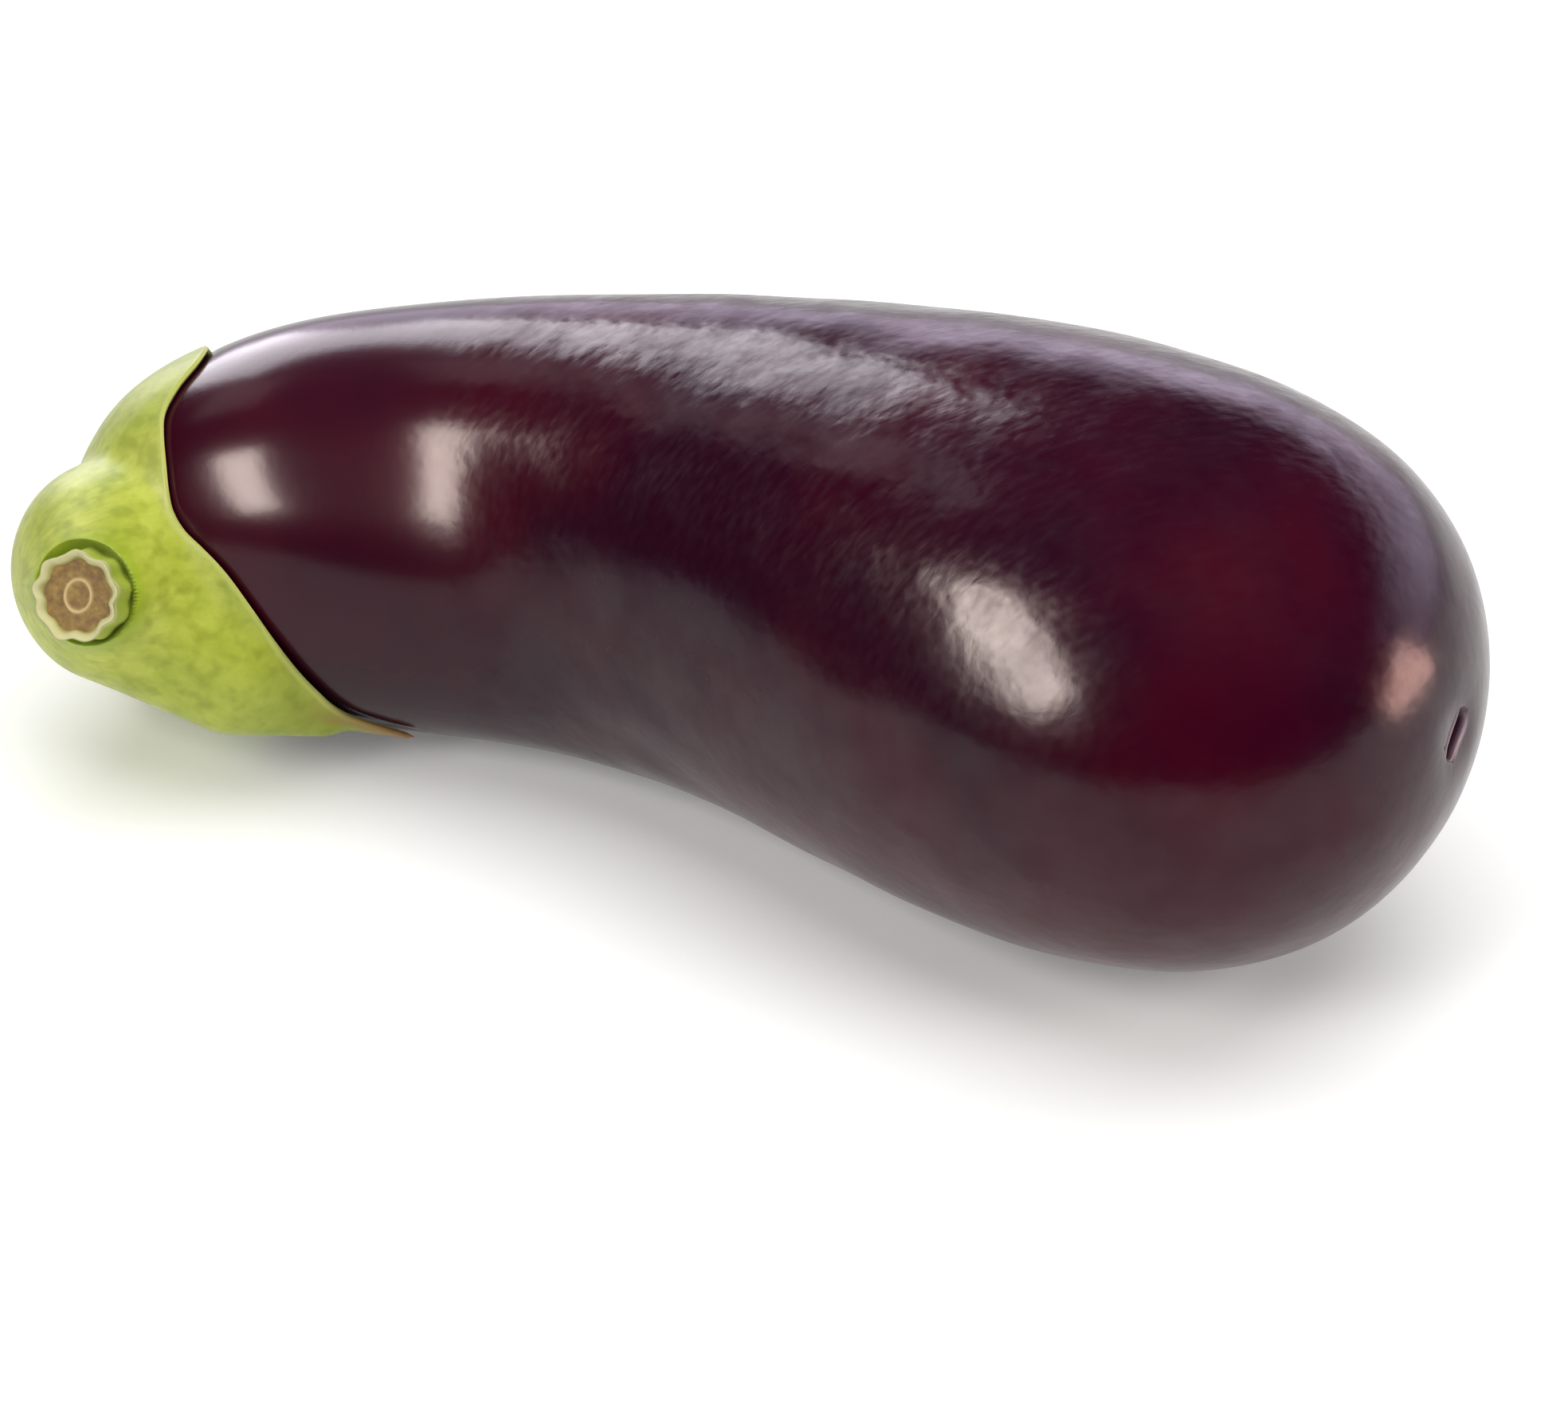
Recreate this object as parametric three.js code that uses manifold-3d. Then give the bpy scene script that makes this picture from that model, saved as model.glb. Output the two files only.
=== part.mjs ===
// A whole eggplant lying on its side, as picked: the fruit, the calyx clasping its neck, and the cut stem.
// Millimetres, +Z up, the stem end towards -X, resting on the plane z = 0.
// Directions are given as turn (degrees in plan from -X towards -Y) and rise (degrees above level).

import * as THREE from 'three';
import { mergeVertices } from 'three/addons/utils/BufferGeometryUtils.js';
import initManifold from 'manifold-3d';

const RAD = Math.PI / 180;

// ---------------------------------------------------------------- driving dimensions

const CLEARANCE = 0.3;            // air between two pieces that touch in the real thing

// fruit
const CENTRE_LENGTH = 195.5;      // along the bent centre line, stem end to blossom end
const START = { x: -91.5, y: -10.5 };  // plan position of the centre line's stem end
const STEM_END_HEIGHT = 26.05;    // centre line above the surface at the stem end
const BLOSSOM_END_HEIGHT = 44.45; // and at the blossom end
const STEM_END_DROOP = 1.4;       // extra fall of the last stretch at the stem end
const DROOP_POWER = 4.9;          // higher keeps the droop closer to the end
const BEND_ANGLE = 53;            // how far the centre line turns through the neck
const BEND_PLACE = 0.276;         // where it turns most, as a share of the length
const BEND_SPREAD = 0.294;
const BLOSSOM_RETURN = 6.1;       // degrees it turns back towards the blossom end
const NECK_RADIUS = 26.95;
const BELLY_RADIUS = 44.0;        // before the rounding of the blossom end takes its share
const NECK_OVAL = -0.10;          // below zero is taller than wide
const BELLY_OVAL = 0.04;
const SWELL_PLACE = 0.523;        // middle of the swelling from neck to belly
const SWELL_SPREAD = 0.239;
const STEM_ROUNDING = 12.4;       // higher is blunter
const BLOSSOM_ROUNDING = 9.2;
const SCAR_OFFSET = { across: 3.9, up: -0.5 };  // blossom scar from the end of the centre line
const SCAR_DIMPLE = { radius: 7, depth: 0.9 };
const FRUIT_RINGS = 46;
const FRUIT_SIDES = 48;

// calyx
const NECK_MIDDLE = 0.13;         // share of the centre line from which the calyx is laid out
const FOOT = { out: 23.4, turn: 49.0, rise: 4.6, radius: 13.4 };   // swollen foot of the stalk
const SEAT = { out: 13.2, turn: 101.0, rise: 14.6, radius: 6.8 };  // where the stem stands, from the foot
const HEEL = { out: 23.0, turn: 51.5, rise: -2.8, radius: 13.8 };  // underside of the foot
const WEB = { out: 20.0, turn: 94.0, rise: -28.5, radius: 10.3 };  // where it runs into the lower lobe
const LOBE_RIB = { out: 25.2, turn: 130.0, rise: -42.0, radius: 4.0 };  // and thins out along it
const FOOT_BLEND = 4;
const CAP_BLEND = 2;
const CAP_THICKNESS = 1.4;
const EDGE_THICKNESS = 0.9;
const EDGE_LIFT = 0.4;            // extra air under the lobes' free edge
const NECK_ARC = 26.9;            // radius that turns reach into an angle
const EDGE_OUTLINE = [            // angle round the foot and reach along the neck from it
  [-41, 50.5], [-36, 43.4], [-27, 38.2], [-18, 34.0], [-6, 29.6], [7, 26.2], [21, 23.3], [33, 20.8],
  [43, 19.0], [55, 18.4], [66, 19.2], [78, 21.0], [90, 23.0], [98, 25.0], [103, 28.4], [107, 32.4],
  [114, 35.4], [123, 37.0], [132, 38.8], [143, 42.0], [152, 46.5], [160, 51.0], [169, 42.0],
  [181, 32.0], [192, 38.0], [205, 47.0], [217, 38.0], [231, 29.0], [245, 34.0], [258, 42.5],
  [272, 55.0], [283, 42.0], [293, 32.5], [303, 35.0], [312, 42.0],
];
const CALYX_SIDES = 72;
const CALYX_RINGS = 22;
const LINING_RINGS = 13;

// stem
const STEM = { turn: 90, rise: 29, length: 5.0 };
const STEM_BASE_RADIUS = 6.1;
const STEM_WAIST_RADIUS = 5.6;
const STEM_RIM_RADIUS = 5.8;
const STEM_RIDGES = 9;
const RIDGE_HEIGHT = 0.3;
const RIM_WIDTH = 0.9;
const PITH_DEPTH = 0.9;
const VESSEL_RING = { long: 2.5, short: 1.9, rise: 0.25, width: 0.5 };
const STEM_SIDES = 54;
const SOCKET_CUT = 20;            // height of the cutter that makes the stem's seat

// ---------------------------------------------------------------- shared helpers

const kernel = await initManifold();
kernel.setup();

function direction(turn, rise) {
  const level = Math.cos(rise * RAD);
  return new THREE.Vector3(
    -Math.cos(turn * RAD) * level,
    -Math.sin(turn * RAD) * level,
    Math.sin(rise * RAD),
  );
}

function along(start, step, distance) {
  return start.clone().addScaledVector(step, distance);
}

function smoothMin(a, b, blend) {
  const near = Math.max(blend - Math.abs(a - b), 0) / blend;
  return Math.min(a, b) - near * near * blend / 4;
}

// Halves an interval until the rising function is zero in it.
function findZero(rising, low, high) {
  for (let turn = 0; turn < 36; turn += 1) {
    const middle = (low + high) / 2;
    if (rising(middle) > 0) {
      high = middle;
    } else {
      low = middle;
    }
  }
  return (low + high) / 2;
}

// A closed skin from a start point, over rows of equal length, to an end point.
function closedSkin(start, rows, end) {
  const sides = rows[0].length;
  const points = [start, ...rows.flat(), end];
  const faces = [];
  const at = (row, side) => 1 + row * sides + (side % sides);
  for (let side = 0; side < sides; side += 1) {
    faces.push(0, at(0, side), at(0, side + 1));
    for (let row = 0; row + 1 < rows.length; row += 1) {
      faces.push(at(row, side), at(row + 1, side), at(row + 1, side + 1));
      faces.push(at(row, side), at(row + 1, side + 1), at(row, side + 1));
    }
    faces.push(points.length - 1, at(rows.length - 1, side + 1), at(rows.length - 1, side));
  }
  const geometry = new THREE.BufferGeometry().setFromPoints(points);
  geometry.setIndex(faces);
  return geometry;
}

function toSolid(geometry) {
  const plain = geometry.clone();
  plain.deleteAttribute('normal');
  plain.deleteAttribute('uv');
  const merged = mergeVertices(plain, 1e-4);
  const mesh = new kernel.Mesh({
    numProp: 3,
    vertProperties: new Float32Array(merged.attributes.position.array),
    triVerts: new Uint32Array(merged.index.array),
  });
  return new kernel.Manifold(mesh);
}

function toGeometry(solid) {
  const mesh = solid.getMesh();
  const geometry = new THREE.BufferGeometry();
  geometry.setAttribute('position', new THREE.BufferAttribute(mesh.vertProperties, 3));
  geometry.setIndex(new THREE.BufferAttribute(mesh.triVerts, 1));
  return geometry;
}

// Takes away what lies below the surface the fruit rests on, which leaves a flat spot.
function restOnSurface(solid) {
  const below = new THREE.BoxGeometry(400, 400, 50).translate(0, 0, -25);
  return solid.subtract(toSolid(below));
}

function finish(name, geometry, colour, roughness) {
  geometry.computeVertexNormals();
  const material = new THREE.MeshStandardMaterial({ color: colour, roughness, metalness: 0 });
  const mesh = new THREE.Mesh(geometry, material);
  mesh.name = name;
  return mesh;
}

// ---------------------------------------------------------------- centre line of the fruit

const LINE_STEPS = 400;
const centreLine = traceCentreLine();

function headingAt(share) {
  const bend = -0.5 * BEND_ANGLE * Math.tanh((share - BEND_PLACE) / BEND_SPREAD);
  return (bend + BLOSSOM_RETURN * share ** 4) * RAD;
}

function stepAt(share) {
  const rise = BLOSSOM_END_HEIGHT - STEM_END_HEIGHT - STEM_END_DROOP;
  const droop = STEM_END_DROOP * DROOP_POWER * (1 - share) ** (DROOP_POWER - 1);
  const climb = (rise + droop) / CENTRE_LENGTH;
  const level = Math.sqrt(1 - climb * climb);
  const heading = headingAt(share);
  return new THREE.Vector3(Math.cos(heading) * level, Math.sin(heading) * level, climb);
}

// Adds up the steps along the line, then turns it so that its two ends lie along X.
function traceCentreLine() {
  const points = [new THREE.Vector3()];
  for (let step = 0; step < LINE_STEPS; step += 1) {
    const middle = (step + 0.5) / LINE_STEPS;
    points.push(along(points[step], stepAt(middle), CENTRE_LENGTH / LINE_STEPS));
  }
  const last = points[LINE_STEPS];
  const turn = -Math.atan2(last.y, last.x);
  const upright = new THREE.Vector3(0, 0, 1);
  const start = new THREE.Vector3(START.x, START.y, STEM_END_HEIGHT);
  return {
    points: points.map((point) => point.applyAxisAngle(upright, turn).add(start)),
    turn,
  };
}

// Both ends carry on straight, so a share may lie a little outside 0 to 1.
function centreAt(share) {
  const place = THREE.MathUtils.clamp(Math.floor(share * LINE_STEPS), 0, LINE_STEPS - 1);
  const from = centreLine.points[place];
  const to = centreLine.points[place + 1];
  return from.clone().lerp(to, share * LINE_STEPS - place);
}

function tangentAt(share) {
  const upright = new THREE.Vector3(0, 0, 1);
  return stepAt(THREE.MathUtils.clamp(share, 0, 1)).applyAxisAngle(upright, centreLine.turn);
}

// The level axis across the line, towards -Y, and the axis that rises from it.
function crossAxes(share) {
  const tangent = tangentAt(share);
  const across = tangent.clone().cross(new THREE.Vector3(0, 0, 1)).normalize();
  return { across, up: across.clone().cross(tangent) };
}

// ---------------------------------------------------------------- fruit

// Zero at the neck and one at the belly.
function swellAt(share) {
  return 0.5 * (1 + Math.tanh((share - SWELL_PLACE) / SWELL_SPREAD));
}

// Radius of the plain body at an angle from level. The neck is taller than wide, the belly wider than tall.
function sideRadius(share, angle) {
  const radius = THREE.MathUtils.lerp(NECK_RADIUS, BELLY_RADIUS, swellAt(share));
  const oval = THREE.MathUtils.lerp(NECK_OVAL, BELLY_OVAL, swellAt(share));
  return radius * (1 + oval * Math.cos(2 * angle));
}

// One along the body, falling to zero at both ends and below zero outside them.
function endRounding(share) {
  return (1 - (1 - share) ** STEM_ROUNDING) * (1 - Math.max(share, 0) ** BLOSSOM_ROUNDING);
}

function fruitPoint(share, angle) {
  const { across, up } = crossAxes(share);
  const radius = sideRadius(share, angle) * Math.sqrt(Math.max(endRounding(share), 0));
  const point = centreAt(share);
  point.addScaledVector(across, radius * Math.cos(angle));
  point.addScaledVector(up, radius * Math.sin(angle));
  return sinkScar(point);
}

// The blossom scar sits in a shallow dimple beside the end of the centre line.
function sinkScar(point) {
  const { across, up } = crossAxes(1);
  const scar = centreAt(1);
  scar.addScaledVector(across, -SCAR_OFFSET.across);
  scar.addScaledVector(up, SCAR_OFFSET.up);
  const distance = point.distanceTo(scar) / SCAR_DIMPLE.radius;
  return along(point, tangentAt(1), -SCAR_DIMPLE.depth * Math.exp(-distance * distance * 2));
}

function buildFruit() {
  const rows = [];
  for (let ring = 1; ring < FRUIT_RINGS; ring += 1) {
    const share = 0.5 * (1 - Math.cos(Math.PI * ring / FRUIT_RINGS));
    const row = [];
    for (let side = 0; side < FRUIT_SIDES; side += 1) {
      row.push(fruitPoint(share, 2 * Math.PI * (side + 0.5) / FRUIT_SIDES));
    }
    rows.push(row);
  }
  const skin = closedSkin(fruitPoint(0, 0), rows, fruitPoint(1, 0));
  return finish('fruit', toGeometry(restOnSurface(toSolid(skin))), '#2c0a19', 0.18);
}

// ---------------------------------------------------------------- calyx

const neckMiddle = centreAt(NECK_MIDDLE);
const footAim = direction(FOOT.turn, FOOT.rise);
const footCentre = along(neckMiddle, footAim, FOOT.out);
const seatCentre = along(footCentre, direction(SEAT.turn, SEAT.rise), SEAT.out);
const heelCentre = along(neckMiddle, direction(HEEL.turn, HEEL.rise), HEEL.out);
const webCentre = along(neckMiddle, direction(WEB.turn, WEB.rise), WEB.out);
const lobeRibCentre = along(neckMiddle, direction(LOBE_RIB.turn, LOBE_RIB.rise), LOBE_RIB.out);
const stemAim = direction(STEM.turn, STEM.rise);
const footUp = new THREE.Vector3(0, 0, 1).addScaledVector(footAim, -footAim.z).normalize();
const footSide = footUp.clone().cross(footAim);

// Share of the centre line abreast of a point near the neck.
function shareAbreast(point) {
  return findZero((share) => tangentAt(share).dot(centreAt(share).sub(point)), -0.15, 0.6);
}

// Zero on the fruit's skin and positive outside it.
function fruitLevel(point) {
  const share = shareAbreast(point);
  const { across, up } = crossAxes(share);
  const reach = point.clone().sub(centreAt(share));
  const angle = Math.atan2(reach.dot(up), reach.dot(across));
  const distance = reach.length() / sideRadius(share, angle);
  return distance * distance - endRounding(share);
}

function fruitNormal(point) {
  const step = 0.05;
  const slope = (axis) => fruitLevel(along(point, axis, step)) - fruitLevel(along(point, axis, -step));
  return new THREE.Vector3(
    slope(new THREE.Vector3(1, 0, 0)),
    slope(new THREE.Vector3(0, 1, 0)),
    slope(new THREE.Vector3(0, 0, 1)),
  ).normalize();
}

// How far the calyx reaches at an angle round the foot, as an angle seen from the middle of the neck.
function edgeAngle(around) {
  const first = EDGE_OUTLINE[0][0];
  const turn = first + THREE.MathUtils.euclideanModulo(around - first, 360);
  const count = EDGE_OUTLINE.length;
  const knot = (index) => {
    const [angle, reach] = EDGE_OUTLINE[THREE.MathUtils.euclideanModulo(index, count)];
    return { angle: angle + 360 * Math.floor(index / count), reach };
  };
  const slope = (index) => {
    const before = knot(index - 1);
    const after = knot(index + 1);
    return (after.reach - before.reach) / (after.angle - before.angle);
  };
  const index = EDGE_OUTLINE.findLastIndex(([angle]) => angle <= turn);
  const from = knot(index);
  const to = knot(index + 1);
  const span = to.angle - from.angle;
  const t = (turn - from.angle) / span;
  const reach = from.reach * (1 + 2 * t) * (1 - t) ** 2 + slope(index) * span * t * (1 - t) ** 2
    + to.reach * (3 - 2 * t) * t * t - slope(index + 1) * span * (1 - t) * t * t;
  return reach / NECK_ARC / RAD;
}

// Distance to the taper that wraps two balls.
function taperDistance(point, from, to, fromRadius, toRadius) {
  const axis = to.clone().sub(from);
  const length = axis.length();
  const lean = Math.asin((fromRadius - toRadius) / length);
  const reach = point.clone().sub(from);
  const forward = reach.dot(axis) / length;
  const outward = Math.sqrt(Math.max(reach.lengthSq() - forward * forward, 0));
  const share = THREE.MathUtils.clamp((forward - outward * Math.tan(lean)) / length, 0, 1);
  const nearest = from.clone().lerp(to, share);
  return point.distanceTo(nearest) - THREE.MathUtils.lerp(fromRadius, toRadius, share);
}

// The swollen foot: a taper towards the stem, and an underside that runs into the lower lobe.
function footDistance(point) {
  const taper = taperDistance(point, footCentre, seatCentre, FOOT.radius, SEAT.radius);
  const heel = taperDistance(point, heelCentre, webCentre, HEEL.radius, WEB.radius);
  const lobe = taperDistance(point, webCentre, lobeRibCentre, WEB.radius, LOBE_RIB.radius);
  return smoothMin(taper, Math.min(heel, lobe), FOOT_BLEND);
}

// The fruit's skin and its normal, at an angle from the foot's aim and an angle round it.
function skinAt(away, around) {
  const aim = footAim.clone().multiplyScalar(Math.cos(away * RAD));
  aim.addScaledVector(footSide, Math.sin(away * RAD) * Math.cos(around * RAD));
  aim.addScaledVector(footUp, Math.sin(away * RAD) * Math.sin(around * RAD));
  const point = along(neckMiddle, aim, findZero((out) => fruitLevel(along(neckMiddle, aim, out)), 10, 60));
  return { point, normal: fruitNormal(point) };
}

// Pushes a point of the cap outwards, along its ray from the middle of the neck, onto the foot.
function swell(point) {
  const aim = point.clone().sub(neckMiddle).normalize();
  const cap = point.distanceTo(neckMiddle);
  const level = (out) => smoothMin(out - cap, footDistance(along(neckMiddle, aim, out)), CAP_BLEND);
  return along(neckMiddle, aim, findZero(level, cap, cap + 40));
}

function calyxRow(share, thickness) {
  const row = [];
  for (let side = 0; side < CALYX_SIDES; side += 1) {
    const around = 360 * side / CALYX_SIDES;
    const skin = skinAt(share * edgeAngle(around), around);
    const lift = CLEARANCE + EDGE_LIFT * share ** 6;
    const point = along(skin.point, skin.normal, lift + thickness);
    row.push(thickness > 0 ? swell(point) : point);
  }
  return row;
}

function capThickness(share) {
  return THREE.MathUtils.lerp(CAP_THICKNESS, EDGE_THICKNESS, share * share);
}

// The flat-bottomed seat that the stem stands in.
function stemSocket() {
  const radius = STEM_BASE_RADIUS + RIDGE_HEIGHT + CLEARANCE;
  const socket = new THREE.CylinderGeometry(radius, radius, SOCKET_CUT, STEM_SIDES);
  const turn = new THREE.Quaternion().setFromUnitVectors(new THREE.Vector3(0, 1, 0), stemAim);
  const middle = along(seatCentre, stemAim, SOCKET_CUT / 2);
  return socket.applyQuaternion(turn).translate(middle.x, middle.y, middle.z);
}

function buildCalyx() {
  const rim = 0.97;
  const rows = [];
  for (let ring = 1; ring <= CALYX_RINGS; ring += 1) {
    const share = rim * ring / CALYX_RINGS;
    rows.push(calyxRow(share, capThickness(share)));
  }
  rows.push(calyxRow(1, EDGE_THICKNESS / 2));
  for (let ring = LINING_RINGS; ring > 0; ring -= 1) {
    rows.push(calyxRow(rim * ring / LINING_RINGS, 0));
  }
  const apex = skinAt(0, 0);
  const top = swell(along(apex.point, apex.normal, CLEARANCE + CAP_THICKNESS));
  const bottom = along(apex.point, apex.normal, CLEARANCE);
  const skin = closedSkin(top, rows, bottom);
  const solid = toSolid(skin).subtract(toSolid(stemSocket()));
  return finish('calyx', toGeometry(restOnSurface(solid)), '#b3bb5e', 0.5);
}

// ---------------------------------------------------------------- stem

// A ring round the stem's axis. An oval ring is narrower one way by the ratio given.
function stemRow(height, radius, ridge, ratio = 1) {
  const side = stemAim.clone().cross(new THREE.Vector3(0, 0, 1)).normalize();
  const up = side.clone().cross(stemAim);
  const centre = along(seatCentre, stemAim, height);
  const row = [];
  for (let index = 0; index < STEM_SIDES; index += 1) {
    const angle = 2 * Math.PI * index / STEM_SIDES;
    const reach = radius + ridge * Math.cos(STEM_RIDGES * angle);
    const point = along(centre, side, reach * Math.cos(angle) * ratio);
    row.push(point.addScaledVector(up, reach * Math.sin(angle)));
  }
  return row;
}

function buildStem() {
  const top = CLEARANCE + STEM.length;
  const pith = top - PITH_DEPTH;
  const inner = STEM_RIM_RADIUS - RIM_WIDTH;
  const ring = VESSEL_RING;
  const oval = ring.short / ring.long;
  const rows = [
    stemRow(CLEARANCE, STEM_BASE_RADIUS, RIDGE_HEIGHT),
    stemRow(CLEARANCE + 1.0, STEM_BASE_RADIUS - 0.3, RIDGE_HEIGHT),
    stemRow(CLEARANCE + STEM.length / 2, STEM_WAIST_RADIUS, RIDGE_HEIGHT),
    stemRow(top - 0.5, STEM_RIM_RADIUS, RIDGE_HEIGHT),
    stemRow(top, STEM_RIM_RADIUS - RIM_WIDTH / 3, RIDGE_HEIGHT),
    stemRow(top - 0.1, STEM_RIM_RADIUS - RIM_WIDTH * 2 / 3, RIDGE_HEIGHT),
    stemRow(pith, inner - 0.3, RIDGE_HEIGHT / 2),
    stemRow(pith, ring.long + ring.width, 0, oval),
    stemRow(pith + ring.rise, ring.long, 0, oval),
    stemRow(pith - 0.1, ring.long - ring.width, 0, oval),
  ];
  const bottom = along(seatCentre, stemAim, CLEARANCE);
  const skin = closedSkin(bottom, rows, along(seatCentre, stemAim, pith - 0.2));
  return finish('stem', skin, '#9a7d3a', 0.8);
}

const eggplant = new THREE.Group();
eggplant.name = 'eggplant';
eggplant.add(buildFruit(), buildCalyx(), buildStem());

export default eggplant;
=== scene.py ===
import math

import bpy
import numpy as np
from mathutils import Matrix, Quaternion, Vector


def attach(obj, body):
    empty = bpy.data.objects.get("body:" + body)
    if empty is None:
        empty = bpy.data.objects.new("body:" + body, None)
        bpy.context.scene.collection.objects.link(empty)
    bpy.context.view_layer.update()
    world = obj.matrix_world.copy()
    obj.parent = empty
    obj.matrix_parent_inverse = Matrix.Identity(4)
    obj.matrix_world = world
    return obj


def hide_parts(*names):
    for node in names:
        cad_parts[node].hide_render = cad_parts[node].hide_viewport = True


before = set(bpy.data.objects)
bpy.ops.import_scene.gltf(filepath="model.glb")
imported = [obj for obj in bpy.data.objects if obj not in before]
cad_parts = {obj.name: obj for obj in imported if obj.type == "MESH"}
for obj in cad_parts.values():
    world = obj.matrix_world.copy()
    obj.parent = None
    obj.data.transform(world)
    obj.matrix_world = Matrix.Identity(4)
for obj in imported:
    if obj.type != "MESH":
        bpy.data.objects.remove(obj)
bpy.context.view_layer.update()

# ---------------------------------------------------------------- the fruit
# A whole ripe eggplant: a berry with thin, waxed, nearly black purple skin over spongy flesh.
# It grew hanging in a curve, so it lies on its belly with the hollow of the bend towards -Y.
# Lengths are in millimetres and angles in degrees, as in the solids, and become metres in the mesh.

MILLIMETRE = 0.001

CENTRE_LENGTH = 195.5        # along the bent centre line, stem end to blossom end
LINE_START = (-91.5, -10.5)
STEM_END_HEIGHT = 26.05
BLOSSOM_END_HEIGHT = 44.45
STEM_END_DROOP = 1.4
DROOP_POWER = 4.9
BEND_ANGLE = 53.0
BEND_PLACE = 0.276
BEND_SPREAD = 0.294
BLOSSOM_RETURN, RETURN_POWER = 6.1, 4
NECK_RADIUS = 26.95
BELLY_RADIUS = 44.0
NECK_OVAL = -0.10            # the neck is taller than wide
BELLY_OVAL = 0.04            # and the belly wider than tall
SWELL_PLACE = 0.523
SWELL_SPREAD = 0.239
STEM_ROUNDING = 12.4
BLOSSOM_ROUNDING = 9.2
LINE_STEPS = 400
NECK_GUESS, GUESS_ROUNDS = 0.12, 14    # where the search for the place abreast of a point starts


def heading(share):
    """Direction of the centre line in plan, in radians, at a share of its length."""
    bend = -0.5 * BEND_ANGLE * np.tanh((share - BEND_PLACE) / BEND_SPREAD)
    return np.radians(bend + BLOSSOM_RETURN * share ** RETURN_POWER)


def line_step(share):
    rise = BLOSSOM_END_HEIGHT - STEM_END_HEIGHT - STEM_END_DROOP
    droop = STEM_END_DROOP * DROOP_POWER * (1 - share) ** (DROOP_POWER - 1)
    climb = (rise + droop) / CENTRE_LENGTH
    level = np.sqrt(1 - climb ** 2)
    turn = heading(share)
    return np.stack([np.cos(turn) * level, np.sin(turn) * level, climb], axis=-1)


def turned_in_plan(points, angle):
    x, y, z = np.moveaxis(points, -1, 0)
    return np.stack([x * math.cos(angle) - y * math.sin(angle),
                     x * math.sin(angle) + y * math.cos(angle), z], axis=-1)


# The steps add up to the centre line, which is then turned so that its two ends lie along X.
line_steps = line_step((np.arange(LINE_STEPS) + 0.5) / LINE_STEPS) * CENTRE_LENGTH / LINE_STEPS
line_points = np.vstack([np.zeros(3), np.cumsum(line_steps, axis=0)])
PLAN_TURN = -math.atan2(line_points[-1, 1], line_points[-1, 0])
line_points = turned_in_plan(line_points, PLAN_TURN) + np.array([*LINE_START, STEM_END_HEIGHT])


def centre_at(share):
    """The point of the centre line at a share of its length."""
    place = np.clip(np.floor(share * LINE_STEPS), 0, LINE_STEPS - 1).astype(int)
    part = (share * LINE_STEPS - place)[..., None]
    return line_points[place] * (1 - part) + line_points[place + 1] * part


def tangent_at(share):
    return turned_in_plan(line_step(np.clip(share, 0, 1)), PLAN_TURN)


def unit(vectors):
    return vectors / np.linalg.norm(vectors, axis=-1, keepdims=True)


def cross_axes(share):
    """The level and the upward axis of the section at a share of the length."""
    tangent = tangent_at(share)
    across = unit(np.cross(tangent, np.array([0.0, 0.0, 1.0])))
    return across, np.cross(across, tangent)


def side_radius(share, angle):
    """Radius of the plain body at an angle from level."""
    swell = 0.5 * (1 + np.tanh((share - SWELL_PLACE) / SWELL_SPREAD))
    oval = NECK_OVAL + (BELLY_OVAL - NECK_OVAL) * swell
    return (NECK_RADIUS + (BELLY_RADIUS - NECK_RADIUS) * swell) * (1 + oval * np.cos(2 * angle))


def end_rounding(share):
    return (1 - (1 - share) ** STEM_ROUNDING) * (1 - np.maximum(share, 0) ** BLOSSOM_ROUNDING)


def share_abreast(points):
    """How far along the centre line, from 0 to 1, each point near the neck lies."""
    share = np.full(points.shape[:-1], NECK_GUESS)
    for _ in range(GUESS_ROUNDS):
        ahead = np.sum(tangent_at(share) * (points - centre_at(share)), axis=-1)
        share = share + ahead / CENTRE_LENGTH
    return share


def fruit_level(points):
    """Zero on the skin and positive outside it, near the neck."""
    share = share_abreast(points)
    across, up = cross_axes(share)
    reach = points - centre_at(share)
    angle = np.arctan2(np.sum(reach * up, axis=-1), np.sum(reach * across, axis=-1))
    distance = np.linalg.norm(reach, axis=-1) / side_radius(share, angle)
    return distance ** 2 - end_rounding(share)


def find_zero(rising, low, high, halvings=30):
    """Where a rising function passes zero between low and high."""
    for _ in range(halvings):
        middle = (low + high) / 2
        above = rising(middle) > 0
        high = np.where(above, middle, high)
        low = np.where(above, low, middle)
    return (low + high) / 2


def ramp(low, high, values):
    """Zero below low, one above high, and eased between."""
    part = np.clip((values - low) / (high - low), 0, 1)
    return part * part * (3 - 2 * part)


def degrees_to(turn, rise):
    """A direction given as turn in plan from -X towards -Y, and rise above level."""
    turn, rise = math.radians(turn), math.radians(rise)
    return np.array([-math.cos(turn) * math.cos(rise), -math.sin(turn) * math.cos(rise), math.sin(rise)])


# The calyx is laid out in angles about the swollen foot of the stalk, seen from the middle of the neck.
NECK_MIDDLE = centre_at(np.array(0.13))
FOOT_AIM = degrees_to(49.0, 4.6)
FOOT_UP = unit(np.array([0.0, 0.0, 1.0]) - FOOT_AIM * FOOT_AIM[2])
FOOT_SIDE = np.cross(FOOT_UP, FOOT_AIM)
NECK_ARC = 26.9
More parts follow.
